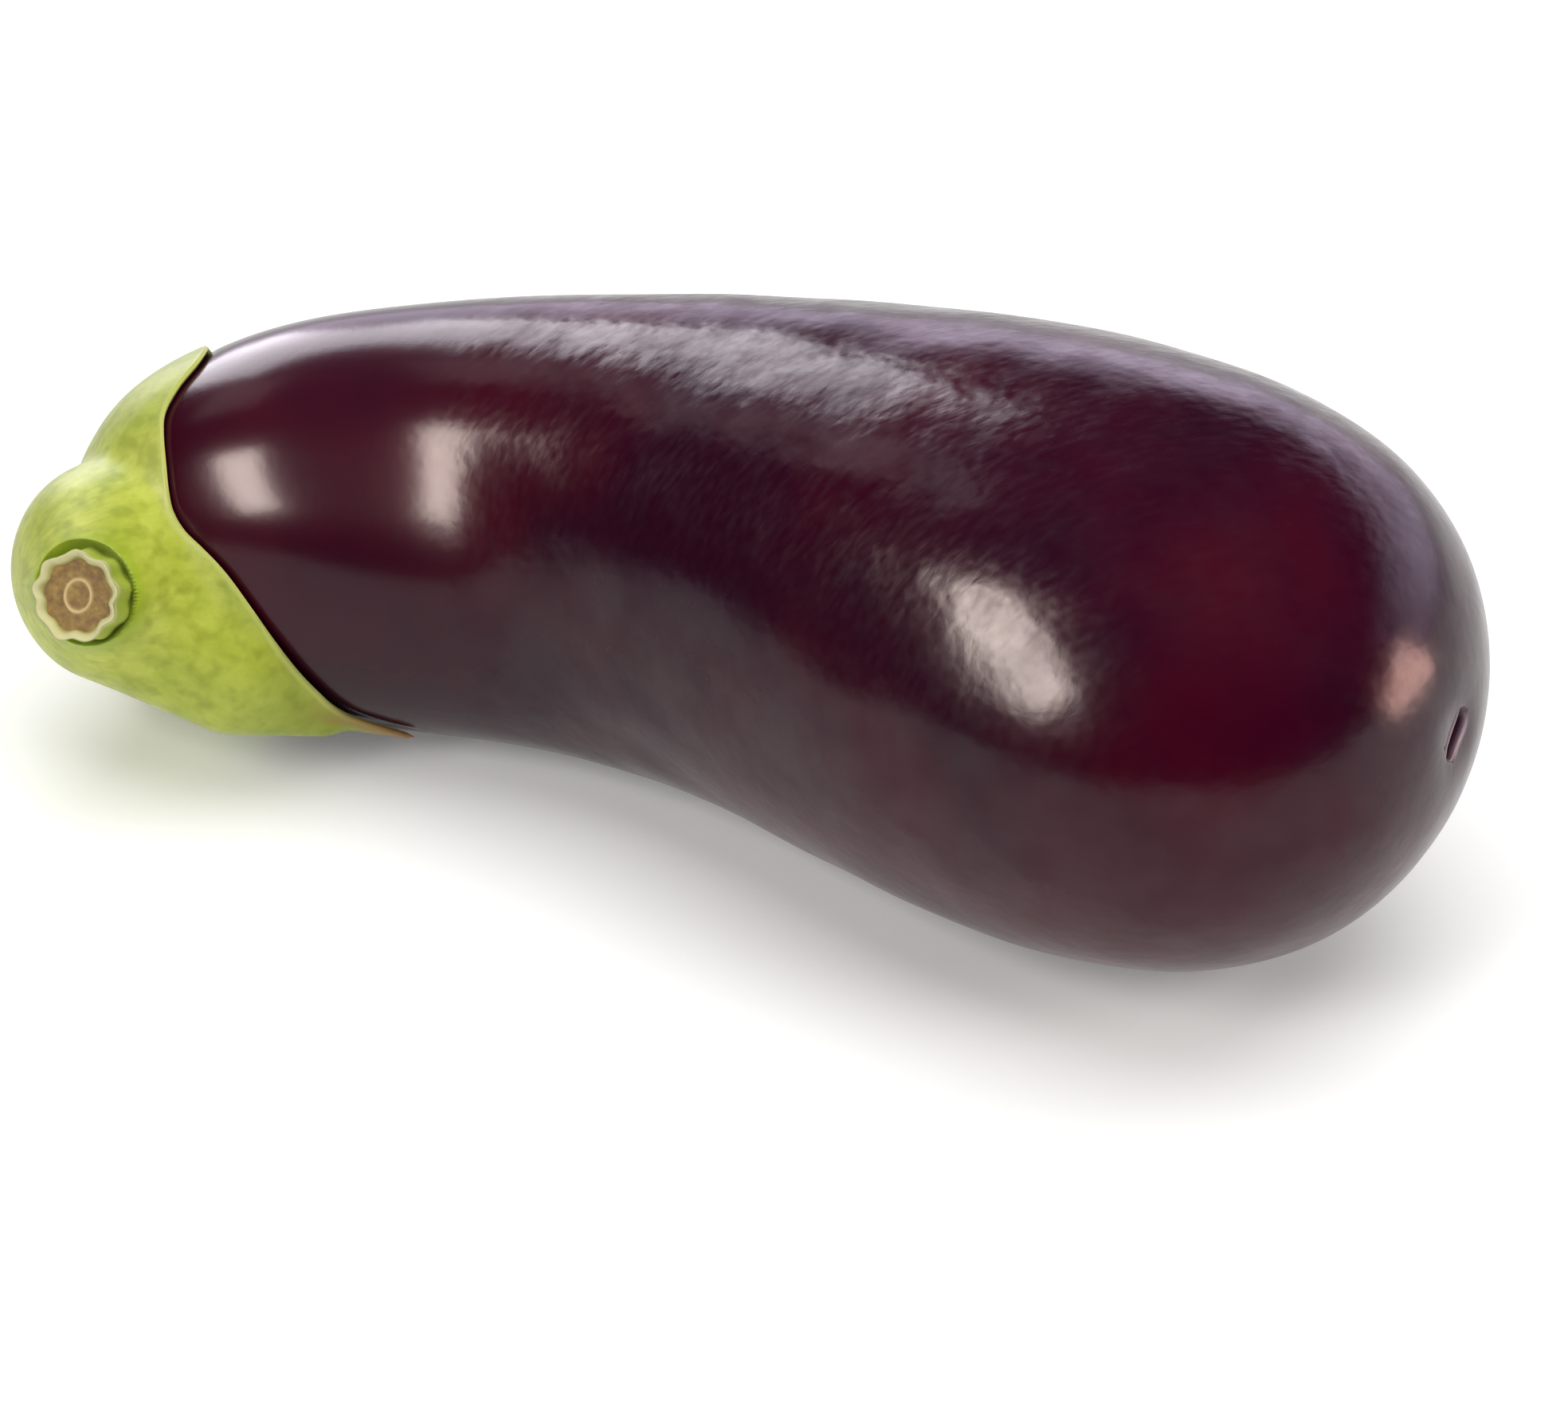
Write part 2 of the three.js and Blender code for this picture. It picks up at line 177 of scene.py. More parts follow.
# Angle round the foot and reach along the neck from it.
EDGE_OUTLINE = np.array([
    [-41, 50.5], [-36, 43.4], [-27, 38.2], [-18, 34.0], [-6, 29.6], [7, 25.8], [21, 22.4], [33, 19.5],
    [43, 17.6], [55, 17.0], [66, 17.9], [78, 19.8], [90, 22.1], [98, 24.5], [103, 28.4], [107, 32.4],
    [114, 35.4], [123, 37.0], [132, 38.8], [143, 42.0], [152, 46.5], [160, 51.0], [169, 42.0],
    [181, 32.0], [192, 38.0], [205, 47.0], [217, 38.0], [231, 29.0], [245, 34.0], [258, 42.5],
    [272, 55.0], [283, 42.0], [293, 32.5], [303, 35.0], [312, 42.0],
])


def edge_reach(around):
    """Reach of the calyx in millimetres at an angle round the foot, eased between the given points."""
    angles, reaches = EDGE_OUTLINE.T
    count = len(angles)
    turn = angles[0] + np.mod(around - angles[0], 360)
    index = np.searchsorted(angles, turn, side="right") - 1

    def knot(number):
        return angles[number % count] + 360 * (number // count), reaches[number % count]

    def slope(number):
        before, after = knot(number - 1), knot(number + 1)
        return (after[1] - before[1]) / (after[0] - before[0])

    start, end = knot(index), knot(index + 1)
    span = end[0] - start[0]
    t = (turn - start[0]) / span
    return (start[1] * (1 + 2 * t) * (1 - t) ** 2 + slope(index) * span * t * (1 - t) ** 2
            + end[1] * (3 - 2 * t) * t * t - slope(index + 1) * span * (1 - t) * t * t)


def beyond_calyx_edge(points):
    """Millimetres from the calyx's edge to a point on the skin, positive where the skin is bare."""
    aim = points - NECK_MIDDLE
    side, up, out = aim @ FOOT_SIDE, aim @ FOOT_UP, aim @ FOOT_AIM
    away = np.degrees(np.arctan2(np.hypot(side, up), out))
    around = np.degrees(np.arctan2(up, side))
    return NECK_ARC * np.radians(away) - edge_reach(around)


# Blossom scar: the healed slit where the flower fell off, in a shallow dimple beside the end of the line.
SCAR_ACROSS, SCAR_UP = -3.9, -0.5
DIMPLE_RADIUS, DIMPLE_DEPTH = 7.0, 0.9
SLIT_TILT = -48.0
SLIT_HALF_LENGTH, SLIT_HALF_WIDTH, SLIT_DEPTH = 3.5, 0.95, 1.7
SLIT_WANDER, SLIT_WANDER_RATE = 0.35, 0.8
LIP_OFFSET, LIP_HALF_WIDTH, LIP_HEIGHT = 1.9, 0.45, 0.2
LIP_CLOSING = 0.3            # how bluntly the two lips meet at the ends of the slit
SCAR_REACH = 12.0


def scar_shape(points):
    """How far the skin sinks at the scar, and how much of each point is slit and healed lip."""
    across, up = cross_axes(np.array(1.0))
    scar = centre_at(np.array(1.0)) + across * SCAR_ACROSS + up * SCAR_UP
    tilt = math.radians(SLIT_TILT)
    run_axis = across * math.cos(tilt) + up * math.sin(tilt)
    side_axis = up * math.cos(tilt) - across * math.sin(tilt)
    reach = points - scar
    run, side = reach @ run_axis, reach @ side_axis
    side = side - SLIT_WANDER * np.sin(run * SLIT_WANDER_RATE)
    taper = np.clip(1 - (run / SLIT_HALF_LENGTH) ** 2, 0, 1) * (np.linalg.norm(reach, axis=-1) < SCAR_REACH)
    slit = np.exp(-(side / SLIT_HALF_WIDTH) ** 2) * np.sqrt(taper)
    beside_lip = np.abs(side) - LIP_OFFSET * taper ** LIP_CLOSING
    lip = np.exp(-(beside_lip / LIP_HALF_WIDTH) ** 2) * np.sqrt(taper)
    dimple = np.exp(-2 * np.sum(reach ** 2, axis=-1) / DIMPLE_RADIUS ** 2)
    return DIMPLE_DEPTH * dimple + SLIT_DEPTH * slit - LIP_HEIGHT * lip, slit, lip


# Growth leaves the body a little uneven: long shallow flats and swellings, and short ripples past the neck.
# Each depth is that of one standard wave, and a sum of waves spans about four of them.
UNEVEN_DEPTH, RIPPLE_DEPTH = 0.098, 0.11
RIPPLE_START, RIPPLE_FULL = 0.26, 0.42
LEAST_WAVE, LENGTH_CALM = 0.3, 1.4     # short waves along the fruit are calmer than those round it
WAVE_LIMIT = 2.0


def growth_waves(seed, count, most_turns, most_lengths):
    """Seeded waves: times round the fruit, times along it, start and depth."""
    chance = np.random.default_rng(seed)
    turns = chance.integers(1, most_turns + 1, count)
    lengths = chance.uniform(-most_lengths, most_lengths, count)
    starts = chance.uniform(0, 2 * math.pi, count)
    depths = chance.uniform(LEAST_WAVE, 1.0, count) / (1 + turns + LENGTH_CALM * np.abs(lengths))
    return list(zip(turns, lengths, starts, depths / np.sqrt(np.sum(depths ** 2) / 2)))


def wave_sum(waves, share, angle):
    """A sum of waves, kept between minus and plus the limit."""
    total = np.zeros(np.broadcast(share, angle).shape)
    for turns, length, start, depth in waves:
        total += depth * np.cos(turns * angle + 2 * math.pi * length * share + start)
    return np.clip(total, -WAVE_LIMIT, WAVE_LIMIT)


long_waves = growth_waves(seed=11, count=26, most_turns=6, most_lengths=3.2)
ripples = growth_waves(seed=23, count=60, most_turns=16, most_lengths=11.0)


def unevenness(share, angle):
    """Millimetres that the uneven skin lies below its highest parts."""
    ripple_share = ramp(RIPPLE_START, RIPPLE_FULL, share)
    return (UNEVEN_DEPTH * (WAVE_LIMIT - wave_sum(long_waves, share, angle))
            + RIPPLE_DEPTH * ripple_share * (WAVE_LIMIT - wave_sum(ripples, share, angle)))


# The neck swells into a collar beside the calyx, drops to a waist, and climbs out of it again.
# The slopes are millimetres per millimetre, and the places millimetres along the centre line.
COLLAR_RISE, WAIST_FALL, WAIST_CLIMB = 0.08, 0.13, 0.14
COLLAR_WIDTH = 11.0                  # from the calyx's edge to the crest of the collar
COLLAR_RUN = 15.0                    # the rise to the crest is this long
WAIST_PLACE = 53.0
RISE_SOFTNESS, CREST_SOFTNESS, WAIST_SOFTNESS, CLIMB_SOFTNESS = 3.0, 3.5, 3.6, 9.0
# Where round the section they are strongest, from level at the front, and how far they spread.
COLLAR_SIDE, COLLAR_SPREAD = math.radians(70), math.radians(75)
WAIST_SIDE, WAIST_SPREAD = math.radians(48), math.radians(54)
WAIST_SLANT, WAIST_WANDER = 0.55, 12.0    # the waist runs slantwise, by up to 12 mm
EDGE_EASING, EASING_REACH = 14.0, 40      # columns of the skin over which the calyx's edge is eased


def calyx_edge_length(bare, lengths):
    """Where the bare skin begins along the centre line, eased round the fruit; one value for each column."""
    first = lengths[np.argmax(bare > 0, axis=0)]
    spread = np.exp(-0.5 * (np.arange(-EASING_REACH, EASING_REACH + 1) / EDGE_EASING) ** 2)
    wrapped = np.concatenate([first[-EASING_REACH:], first, first[:EASING_REACH]])
    return np.convolve(wrapped, spread / spread.sum(), "valid")


def soft_corner(length, width):
    """Zero below nothing and rising by one per millimetre above it, rounded between."""
    return width * np.logaddexp(0, length / width)


def side_share(angle, side, spread):
    """One at a side of the section, fading away round it."""
    turn = np.mod(angle - side + math.pi, 2 * math.pi) - math.pi
    return np.exp(-(turn / spread) ** 2)


def collar_sink(share, angle, edge_length):
    """How far the skin lies below the collar's crest."""
    length = share * CENTRE_LENGTH
    crest = edge_length + COLLAR_WIDTH
    lean = WAIST_SLANT * NECK_RADIUS * np.sin(WAIST_SIDE - angle)
    waist = WAIST_PLACE + WAIST_WANDER * np.tanh(lean / WAIST_WANDER)
    climb_end = waist + (waist - crest) * WAIST_FALL / WAIST_CLIMB
    rise = COLLAR_RISE * (soft_corner(crest - length, RISE_SOFTNESS)
                          - soft_corner(crest - COLLAR_RUN - length, RISE_SOFTNESS))
    past_waist = soft_corner(length - waist, WAIST_SOFTNESS)
    fall = (WAIST_FALL * (soft_corner(length - crest, CREST_SOFTNESS) - past_waist)
            - WAIST_CLIMB * (past_waist - soft_corner(length - climb_end, CLIMB_SOFTNESS)))
    return (rise * side_share(angle, COLLAR_SIDE, COLLAR_SPREAD)
            + np.maximum(fall, 0) * side_share(angle, WAIST_SIDE, WAIST_SPREAD))


# Skin that the calyx shades stays lower than the bare skin, which rolls over a soft shoulder beside it.
SHOULDER_DROP = 0.35
SHOULDER_WIDTH = 1.8
CALM_WIDTH = 14.0            # the skin beside the calyx is even over this far
SKIN_INSET = 0.12            # keeps the round skin inside the faceted solid's box

# Rings of the skin, closest together at both ends and at the scar.
FRUIT_SIDES = 320
NECK_RINGS, BODY_RINGS, END_RINGS = 120, 90, 60
NECK_END, BODY_END = 0.34, 0.975
neck_shares = np.linspace(0, 1, NECK_RINGS + 1)[1:] ** 1.6 * NECK_END
body_shares = NECK_END + np.linspace(0, 1, BODY_RINGS + 1)[1:] ** 0.9 * (BODY_END - NECK_END)
end_steps = np.linspace(0, 1, END_RINGS + 2)[1:-1] ** 1.15
end_shares = 1 - (1 - BODY_END) * (1 - end_steps) ** 2
fruit_shares = np.concatenate([neck_shares, body_shares, end_shares])


def skin_grid(shares, sides):
    """Rings of points on the skin, how much of each is slit and lip, and where each lies in its section."""
    share = shares[:, None]
    angle = (2 * math.pi * (np.arange(sides) + 0.5) / sides)[None, :]
    across, up = cross_axes(share)
    rounding = np.sqrt(np.maximum(end_rounding(share), 0))
    radius = side_radius(share, angle) * rounding
    plain = (centre_at(share) + across * (radius * np.cos(angle))[..., None]
             + up * (radius * np.sin(angle))[..., None])
    outward = np.cos(angle)[..., None] * across + np.sin(angle)[..., None] * up
    bare = beyond_calyx_edge(plain)
    edge_length = calyx_edge_length(bare, shares * CENTRE_LENGTH)
    sink = SKIN_INSET + rounding * (unevenness(share, angle) * ramp(0, CALM_WIDTH, bare)
                                    + SHOULDER_DROP * (1 - ramp(-SHOULDER_WIDTH, SHOULDER_WIDTH, bare))
                                    + collar_sink(share, angle, edge_length))
    points = plain - outward * sink[..., None]
    depth, slit, lip = scar_shape(points)
    points = points - tangent_at(np.array(1.0)) * depth[..., None]
    points[..., 2] = np.maximum(points[..., 2], 0)
    return points, slit, lip, radius * np.cos(angle), radius * np.sin(angle)


scene = bpy.context.scene


def closed_mesh(name, start, rows, end):
    """A closed skin of quads over rows of points, with a fan of triangles at both ends."""
    count, sides = rows.shape[:2]
    points = np.vstack([start[None], rows.reshape(-1, 3), end[None]]) * MILLIMETRE
    at = 1 + np.arange(count * sides).reshape(count, sides)
    beside = np.roll(at, -1, axis=1)
    faces = [(0, a, b) for a, b in zip(at[0], beside[0])]
    quads = np.stack([at[:-1], at[1:], beside[1:], beside[:-1]], axis=-1).reshape(-1, 4)
    faces += quads.tolist()
    last = len(points) - 1
    faces += [(last, b, a) for a, b in zip(at[-1], beside[-1])]
    mesh = bpy.data.meshes.new(name)
    mesh.from_pydata(points.tolist(), [], [tuple(int(i) for i in face) for face in faces])
    mesh.validate()
    mesh.polygons.foreach_set("use_smooth", [True] * len(mesh.polygons))
    mesh.update()
    piece = bpy.data.objects.new(name, mesh)
    scene.collection.objects.link(piece)
    return piece


def paint(piece, name, values):
    """Stores one number for each point, for a material to read; values cover the rows, not the ends."""
    flat = np.concatenate([[values.flat[0]], values.ravel(), [values[-1].flat[-1]]]).astype(np.float32)
    layer = piece.data.attributes.new(name, "FLOAT", "POINT")
    layer.data.foreach_set("value", flat)


skin_rows, slit, lip, round_x, round_y = skin_grid(fruit_shares, FRUIT_SIDES)
stem_pole = centre_at(np.array(0.0)) + tangent_at(np.array(0.0)) * SKIN_INSET
blossom_pole = centre_at(np.array(1.0))
blossom_pole = blossom_pole - tangent_at(np.array(1.0)) * (SKIN_INSET + scar_shape(blossom_pole[None])[0])
fruit = closed_mesh("eggplant_fruit", stem_pole, skin_rows, blossom_pole)
paint(fruit, "slit", slit)
paint(fruit, "lip", lip)
paint(fruit, "length", fruit_shares[:, None] * CENTRE_LENGTH * np.ones_like(slit))
paint(fruit, "round_x", round_x)
paint(fruit, "round_y", round_y)


def linear(code):
    """An sRGB hex colour as the linear one that a shader takes."""
    parts = [int(code[i:i + 2], 16) / 255 for i in (0, 2, 4)]
    return tuple(p / 12.92 if p <= 0.04045 else ((p + 0.055) / 1.055) ** 2.4 for p in parts) + (1.0,)


def add_node(tree, kind, settings=None, inputs=None):
    """Adds a node; an input is a number or colour, or the socket that feeds it."""
    node = tree.nodes.new(kind)
    for name, value in (settings or {}).items():
        setattr(node, name, value)
    for name, value in (inputs or {}).items():
        if isinstance(value, bpy.types.NodeSocket):
            tree.links.new(value, node.inputs[name])
        else:
            node.inputs[name].default_value = value
    return node


def new_material(name):
    material = bpy.data.materials.new(name)
    material.use_nodes = True
    material.node_tree.nodes.clear()
    return material, material.node_tree


# Eggplant skin: pigment cells under a clear wax, so the colour is deep and the gloss is colourless. Fine
# slanting strokes, a millimetre apart and three long, leave the wax partly smooth and partly dull, over
# shallow dimples and a finer peel, and it is thinner in patches. The neck has an even, smoother gloss.
SKIN_DARK = linear("240215")
# Nearly black in the blossom scar's slit: partly the scar's own colour, partly painted shade in its groove.
SKIN_RED = linear("380315")
SKIN_LIP = linear("8a7683")
SLIT_SCAR_AND_SHADE = linear("12060a")
RED_PATCH_SIZE = 41.67
STROKE_SLANT = math.radians(50)
STROKE_LENGTH, STROKE_BREADTH, STROKE_RISE, STROKE_BUMP = 2.941, 0.9091, 2.0, 0.02
DIMPLE_SIZE, DIMPLE_BUMP = 5.882, 0.25
PEEL_SIZE, PEEL_BUMP = 1.1111, 0.04
WAX_PATCH_SIZE = 8.333
SMOOTH_NECK_END, BRUSHED_START = 44.0, 68.0
BRUSHED_LOW, BRUSHED_HIGH = 18.0, 34.0     # heights in the section between which the brushing comes on
NECK_ROUGHNESS, SMOOTH_STROKE, DULL_STROKE = 0.205, 0.15, 0.28
WAX_IOR = 1.31
FULL_GLOSS, THIN_WAX_GLOSS, THICK_WAX_GLOSS = 0.5, 0.28, 0.6

waxed_skin, tree = new_material("waxed_eggplant_skin")
place = add_node(tree, "ShaderNodeTexCoord")
patches = add_node(tree, "ShaderNodeTexNoise", None,
                   {"Vector": place.outputs["Object"], "Scale": 1 / (RED_PATCH_SIZE * MILLIMETRE),
                    "Detail": 3.0, "Roughness": 0.55})
patch_amount = add_node(tree, "ShaderNodeMapRange", {"clamp": True},
                        {"Value": patches.outputs["Fac"], "From Min": 0.38, "From Max": 0.66})
skin_colour = add_node(tree, "ShaderNodeMix", {"data_type": "RGBA"},
                       {0: patch_amount.outputs["Result"], 6: SKIN_DARK, 7: SKIN_RED})
lip_amount = add_node(tree, "ShaderNodeAttribute", {"attribute_name": "lip"})
with_lip = add_node(tree, "ShaderNodeMix", {"data_type": "RGBA"},
                    {0: lip_amount.outputs["Fac"], 6: skin_colour.outputs[2], 7: SKIN_LIP})
# The slit's colour is partly the scar's own and partly painted shade in the groove.
slit_shade_amount = add_node(tree, "ShaderNodeAttribute", {"attribute_name": "slit"})
with_slit_shade = add_node(tree, "ShaderNodeMix", {"data_type": "RGBA"},
                     {0: slit_shade_amount.outputs["Fac"], 6: with_lip.outputs[2], 7: SLIT_SCAR_AND_SHADE})
length = add_node(tree, "ShaderNodeAttribute", {"attribute_name": "length"})
round_x = add_node(tree, "ShaderNodeAttribute", {"attribute_name": "round_x"})
round_y = add_node(tree, "ShaderNodeAttribute", {"attribute_name": "round_y"})
skin_place = add_node(tree, "ShaderNodeCombineXYZ", None,
                      {"X": length.outputs["Fac"], "Y": round_x.outputs["Fac"], "Z": round_y.outputs["Fac"]})
stroke_turn = add_node(tree, "ShaderNodeVectorRotate", {"rotation_type": "Z_AXIS"},
                       {"Vector": skin_place.outputs["Vector"], "Angle": STROKE_SLANT})
stroke_place = add_node(tree, "ShaderNodeVectorMath", {"operation": "MULTIPLY"},
                        {0: stroke_turn.outputs["Vector"],
                         1: (1 / STROKE_LENGTH, 1 / STROKE_BREADTH, 1 / STROKE_RISE)})
strokes = add_node(tree, "ShaderNodeTexNoise", None,
                   {"Vector": stroke_place.outputs["Vector"], "Scale": 1.0, "Detail": 3.0, "Roughness": 0.55})
dimples = add_node(tree, "ShaderNodeTexNoise", None,
                   {"Vector": skin_place.outputs["Vector"], "Scale": 1 / DIMPLE_SIZE, "Detail": 2.0,
                    "Roughness": 0.5})
past_neck = add_node(tree, "ShaderNodeMapRange", {"clamp": True, "interpolation_type": "SMOOTHSTEP"},
                     {"Value": length.outputs["Fac"], "From Min": SMOOTH_NECK_END, "From Max": BRUSHED_START,
                      "To Min": 0.08})
up_side = add_node(tree, "ShaderNodeMapRange", {"clamp": True, "interpolation_type": "SMOOTHSTEP"},
                   {"Value": round_y.outputs["Fac"], "From Min": BRUSHED_LOW, "From Max": BRUSHED_HIGH,
                    "To Min": 0.4})
stroke_amount = add_node(tree, "ShaderNodeMath", {"operation": "MULTIPLY"},
                         {0: past_neck.outputs["Result"], 1: up_side.outputs["Result"]})
dull_wax = add_node(tree, "ShaderNodeMapRange", {"clamp": True},
                    {"Value": strokes.outputs["Fac"], "From Min": 0.3, "From Max": 0.7,
                     "To Min": SMOOTH_STROKE, "To Max": DULL_STROKE})
wax_roughness = add_node(tree, "ShaderNodeMix", {"data_type": "FLOAT"},
                         {0: stroke_amount.outputs[0], 2: NECK_ROUGHNESS, 3: dull_wax.outputs["Result"]})
dimple_bump = add_node(tree, "ShaderNodeBump", None,
                       {"Strength": stroke_amount.outputs[0], "Distance": DIMPLE_BUMP * MILLIMETRE,
                        "Height": dimples.outputs["Fac"]})
stroke_bump = add_node(tree, "ShaderNodeBump", None,
                       {"Strength": stroke_amount.outputs[0], "Distance": STROKE_BUMP * MILLIMETRE,
                        "Height": strokes.outputs["Fac"], "Normal": dimple_bump.outputs["Normal"]})
peel = add_node(tree, "ShaderNodeTexNoise", None,
                {"Vector": place.outputs["Object"], "Scale": 1 / (PEEL_SIZE * MILLIMETRE), "Detail": 2.0})
peel_bump = add_node(tree, "ShaderNodeBump", None,
                     {"Strength": 0.3, "Distance": PEEL_BUMP * MILLIMETRE, "Height": peel.outputs["Fac"],
                      "Normal": stroke_bump.outputs["Normal"]})
wax_patches = add_node(tree, "ShaderNodeTexNoise", None,
                       {"Vector": skin_place.outputs["Vector"], "Scale": 1 / WAX_PATCH_SIZE, "Detail": 4.0,
                        "Roughness": 0.6})
patchy_gloss = add_node(tree, "ShaderNodeMapRange", {"clamp": True},
                        {"Value": wax_patches.outputs["Fac"], "From Min": 0.38, "From Max": 0.6,
                         "To Min": THIN_WAX_GLOSS, "To Max": THICK_WAX_GLOSS})
wax_gloss = add_node(tree, "ShaderNodeMix", {"data_type": "FLOAT"},
                     {0: stroke_amount.outputs[0], 2: FULL_GLOSS, 3: patchy_gloss.outputs["Result"]})
skin_shader = add_node(tree, "ShaderNodeBsdfPrincipled", None,
                       {"Base Color": with_slit_shade.outputs[2], "Roughness": wax_roughness.outputs[0],
                        "IOR": WAX_IOR, "Specular IOR Level": wax_gloss.outputs[0],
                        "Normal": peel_bump.outputs["Normal"]})
add_node(tree, "ShaderNodeOutputMaterial", None, {"Surface": skin_shader.outputs["BSDF"]})
fruit.data.materials.append(waxed_skin)
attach(fruit, "root")
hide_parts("fruit")

# ---------------------------------------------------------------- the calyx
# The leafy green cup the flower sat in: fleshy, a little over a millimetre thick, clasping the neck
# in pointed lobes, and grown together with the swollen foot of the stalk on one side.

FOOT_CENTRE = NECK_MIDDLE + FOOT_AIM * 23.4
SEAT_CENTRE = FOOT_CENTRE + degrees_to(101.0, 14.6) * 13.2
HEEL_CENTRE = NECK_MIDDLE + degrees_to(51.5, -2.8) * 23.0
WEB_CENTRE = NECK_MIDDLE + degrees_to(94.0, -28.5) * 20.0
LOBE_RIB_CENTRE = NECK_MIDDLE + degrees_to(130.0, -42.0) * 25.2
FOOT_RADIUS, SEAT_RADIUS, HEEL_RADIUS, WEB_RADIUS, LOBE_RIB_RADIUS = 13.4, 6.8, 13.8, 10.3, 4.0
STEM_AIM = degrees_to(90.0, 29.0)
FOOT_BLEND, CAP_BLEND = 4.0, 2.0
CLEARANCE = 0.3
CAP_THICKNESS, EDGE_THICKNESS, EDGE_LIFT = 1.4, 0.8, 0.05
STEM_BASE_RADIUS = 6.1
SEARCH_START, SEARCH_REACH, FOOT_REACH, SLOPE_STEP = 10.0, 50.0, 40.0, 0.05


def smooth_min(a, b, blend):
    """The lesser of two distances, blended where they are nearly the same."""
    near = np.maximum(blend - np.abs(a - b), 0) / blend
    return np.minimum(a, b) - near * near * blend / 4


def taper_distance(points, start, end, start_radius, end_radius):
    """Distance outside a round taper with ball ends."""
    axis = end - start
    length = np.linalg.norm(axis)
    lean = math.asin((start_radius - end_radius) / length)
    reach = points - start
    forward = reach @ axis / length
    outward = np.sqrt(np.maximum(np.sum(reach ** 2, axis=-1) - forward ** 2, 0))
    share = np.clip((forward - outward * math.tan(lean)) / length, 0, 1)
    nearest = start + axis * share[..., None]
    return np.linalg.norm(points - nearest, axis=-1) - (start_radius + (end_radius - start_radius) * share)


def foot_distance(points):
    """Distance outside the swollen foot of the stalk and the rib that runs from it into the lowest lobe."""
    taper = taper_distance(points, FOOT_CENTRE, SEAT_CENTRE, FOOT_RADIUS, SEAT_RADIUS)
    heel = taper_distance(points, HEEL_CENTRE, WEB_CENTRE, HEEL_RADIUS, WEB_RADIUS)
    lobe = taper_distance(points, WEB_CENTRE, LOBE_RIB_CENTRE, WEB_RADIUS, LOBE_RIB_RADIUS)
    return smooth_min(taper, np.minimum(heel, lobe), FOOT_BLEND)


def skin_at(away, around):
    """The fruit's skin and its outward normal, at angles from the foot's aim and round it."""
    away, around = np.radians(away)[..., None], np.radians(around)[..., None]
    aim = FOOT_AIM * np.cos(away) + (FOOT_SIDE * np.cos(around) + FOOT_UP * np.sin(around)) * np.sin(away)
    low = np.full(away.shape[:-1], SEARCH_START)
    out = find_zero(lambda far: fruit_level(NECK_MIDDLE + aim * far[..., None]), low, low + SEARCH_REACH)
    points = NECK_MIDDLE + aim * out[..., None]
    steps = np.eye(3) * SLOPE_STEP
    slopes = [fruit_level(points + step) - fruit_level(points - step) for step in steps]
    return points, unit(np.stack(slopes, axis=-1))


def swell(points):
    """Pushes points of the cap outwards from the middle of the neck onto the foot."""
    reach = points - NECK_MIDDLE
    cap = np.linalg.norm(reach, axis=-1)
    aim = reach / cap[..., None]

    def level(out):
        return smooth_min(out - cap, foot_distance(NECK_MIDDLE + aim * out[..., None]), CAP_BLEND)

    return NECK_MIDDLE + aim * find_zero(level, cap, cap + FOOT_REACH)[..., None]


# The cap is laid out in rings about the foot's aim, from the foot to the calyx's edge, closer at the edge.
CALYX_SIDES = 420
INNER_RINGS, EDGE_RINGS, EDGE_RINGS_START = 76, 24, 0.8
RIM_START = 0.985                           # share of the reach where the edge begins to round off
LOBE_TIPS = (-41, 160, 205, 272)
RIB_HEIGHT, RIB_WIDTH = 0.3, 2.6
RIB_START, RIB_FULL, RIB_FADE = 6.0, 14.0, 0.75
COLLAR_FOLLOW = 0.35                        # past this share the cap sinks with the collar under it
cap_shares = np.concatenate([np.linspace(0, EDGE_RINGS_START, INNER_RINGS + 1)[1:],
                             np.linspace(EDGE_RINGS_START, 1, EDGE_RINGS + 1)[1:]])
around = (360 * np.arange(CALYX_SIDES) / CALYX_SIDES)[None, :]
cap_share = cap_shares[:, None] * np.ones_like(around)
cap_reach = cap_share * edge_reach(around)
cap_skin, cap_normal = skin_at(np.degrees(cap_reach / NECK_ARC), around * np.ones_like(cap_share))


def turn_from(tip):
    """Degrees round the foot from a lobe's tip, between minus and plus 180."""
    return np.mod(around - tip + 180, 360) - 180


rib = np.zeros_like(cap_reach)
for tip in LOBE_TIPS:
    sideways = np.radians(turn_from(tip)) * NECK_ARC * np.sin(cap_reach / NECK_ARC)
    along_rib = ramp(RIB_START, RIB_FULL, cap_reach) * (1 - ramp(RIB_FADE, 1, cap_share))
    rib += np.exp(-(sideways / RIB_WIDTH) ** 2) * along_rib

edge_round = np.sqrt(np.maximum(1 - np.clip((cap_share - RIM_START) / (1 - RIM_START), 0, 1) ** 2, 0))
thickness = CAP_THICKNESS + (EDGE_THICKNESS - CAP_THICKNESS) * cap_share ** 2
skin_share = share_abreast(cap_skin)
section_across, section_up = cross_axes(skin_share)
from_line = cap_skin - centre_at(skin_share)
section_angle = np.arctan2(np.sum(from_line * section_up, axis=-1),
                           np.sum(from_line * section_across, axis=-1))
collar_drop = COLLAR_RISE * COLLAR_WIDTH * side_share(section_angle, COLLAR_SIDE, COLLAR_SPREAD)
lift = CLEARANCE + EDGE_LIFT * cap_share ** 6 - collar_drop * ramp(COLLAR_FOLLOW, 1.0, cap_share)
upper = swell(cap_skin + cap_normal * (lift + thickness * (0.5 + 0.5 * edge_round))[..., None])
lower = cap_skin + cap_normal * (lift + thickness * (0.5 - 0.5 * edge_round))[..., None]
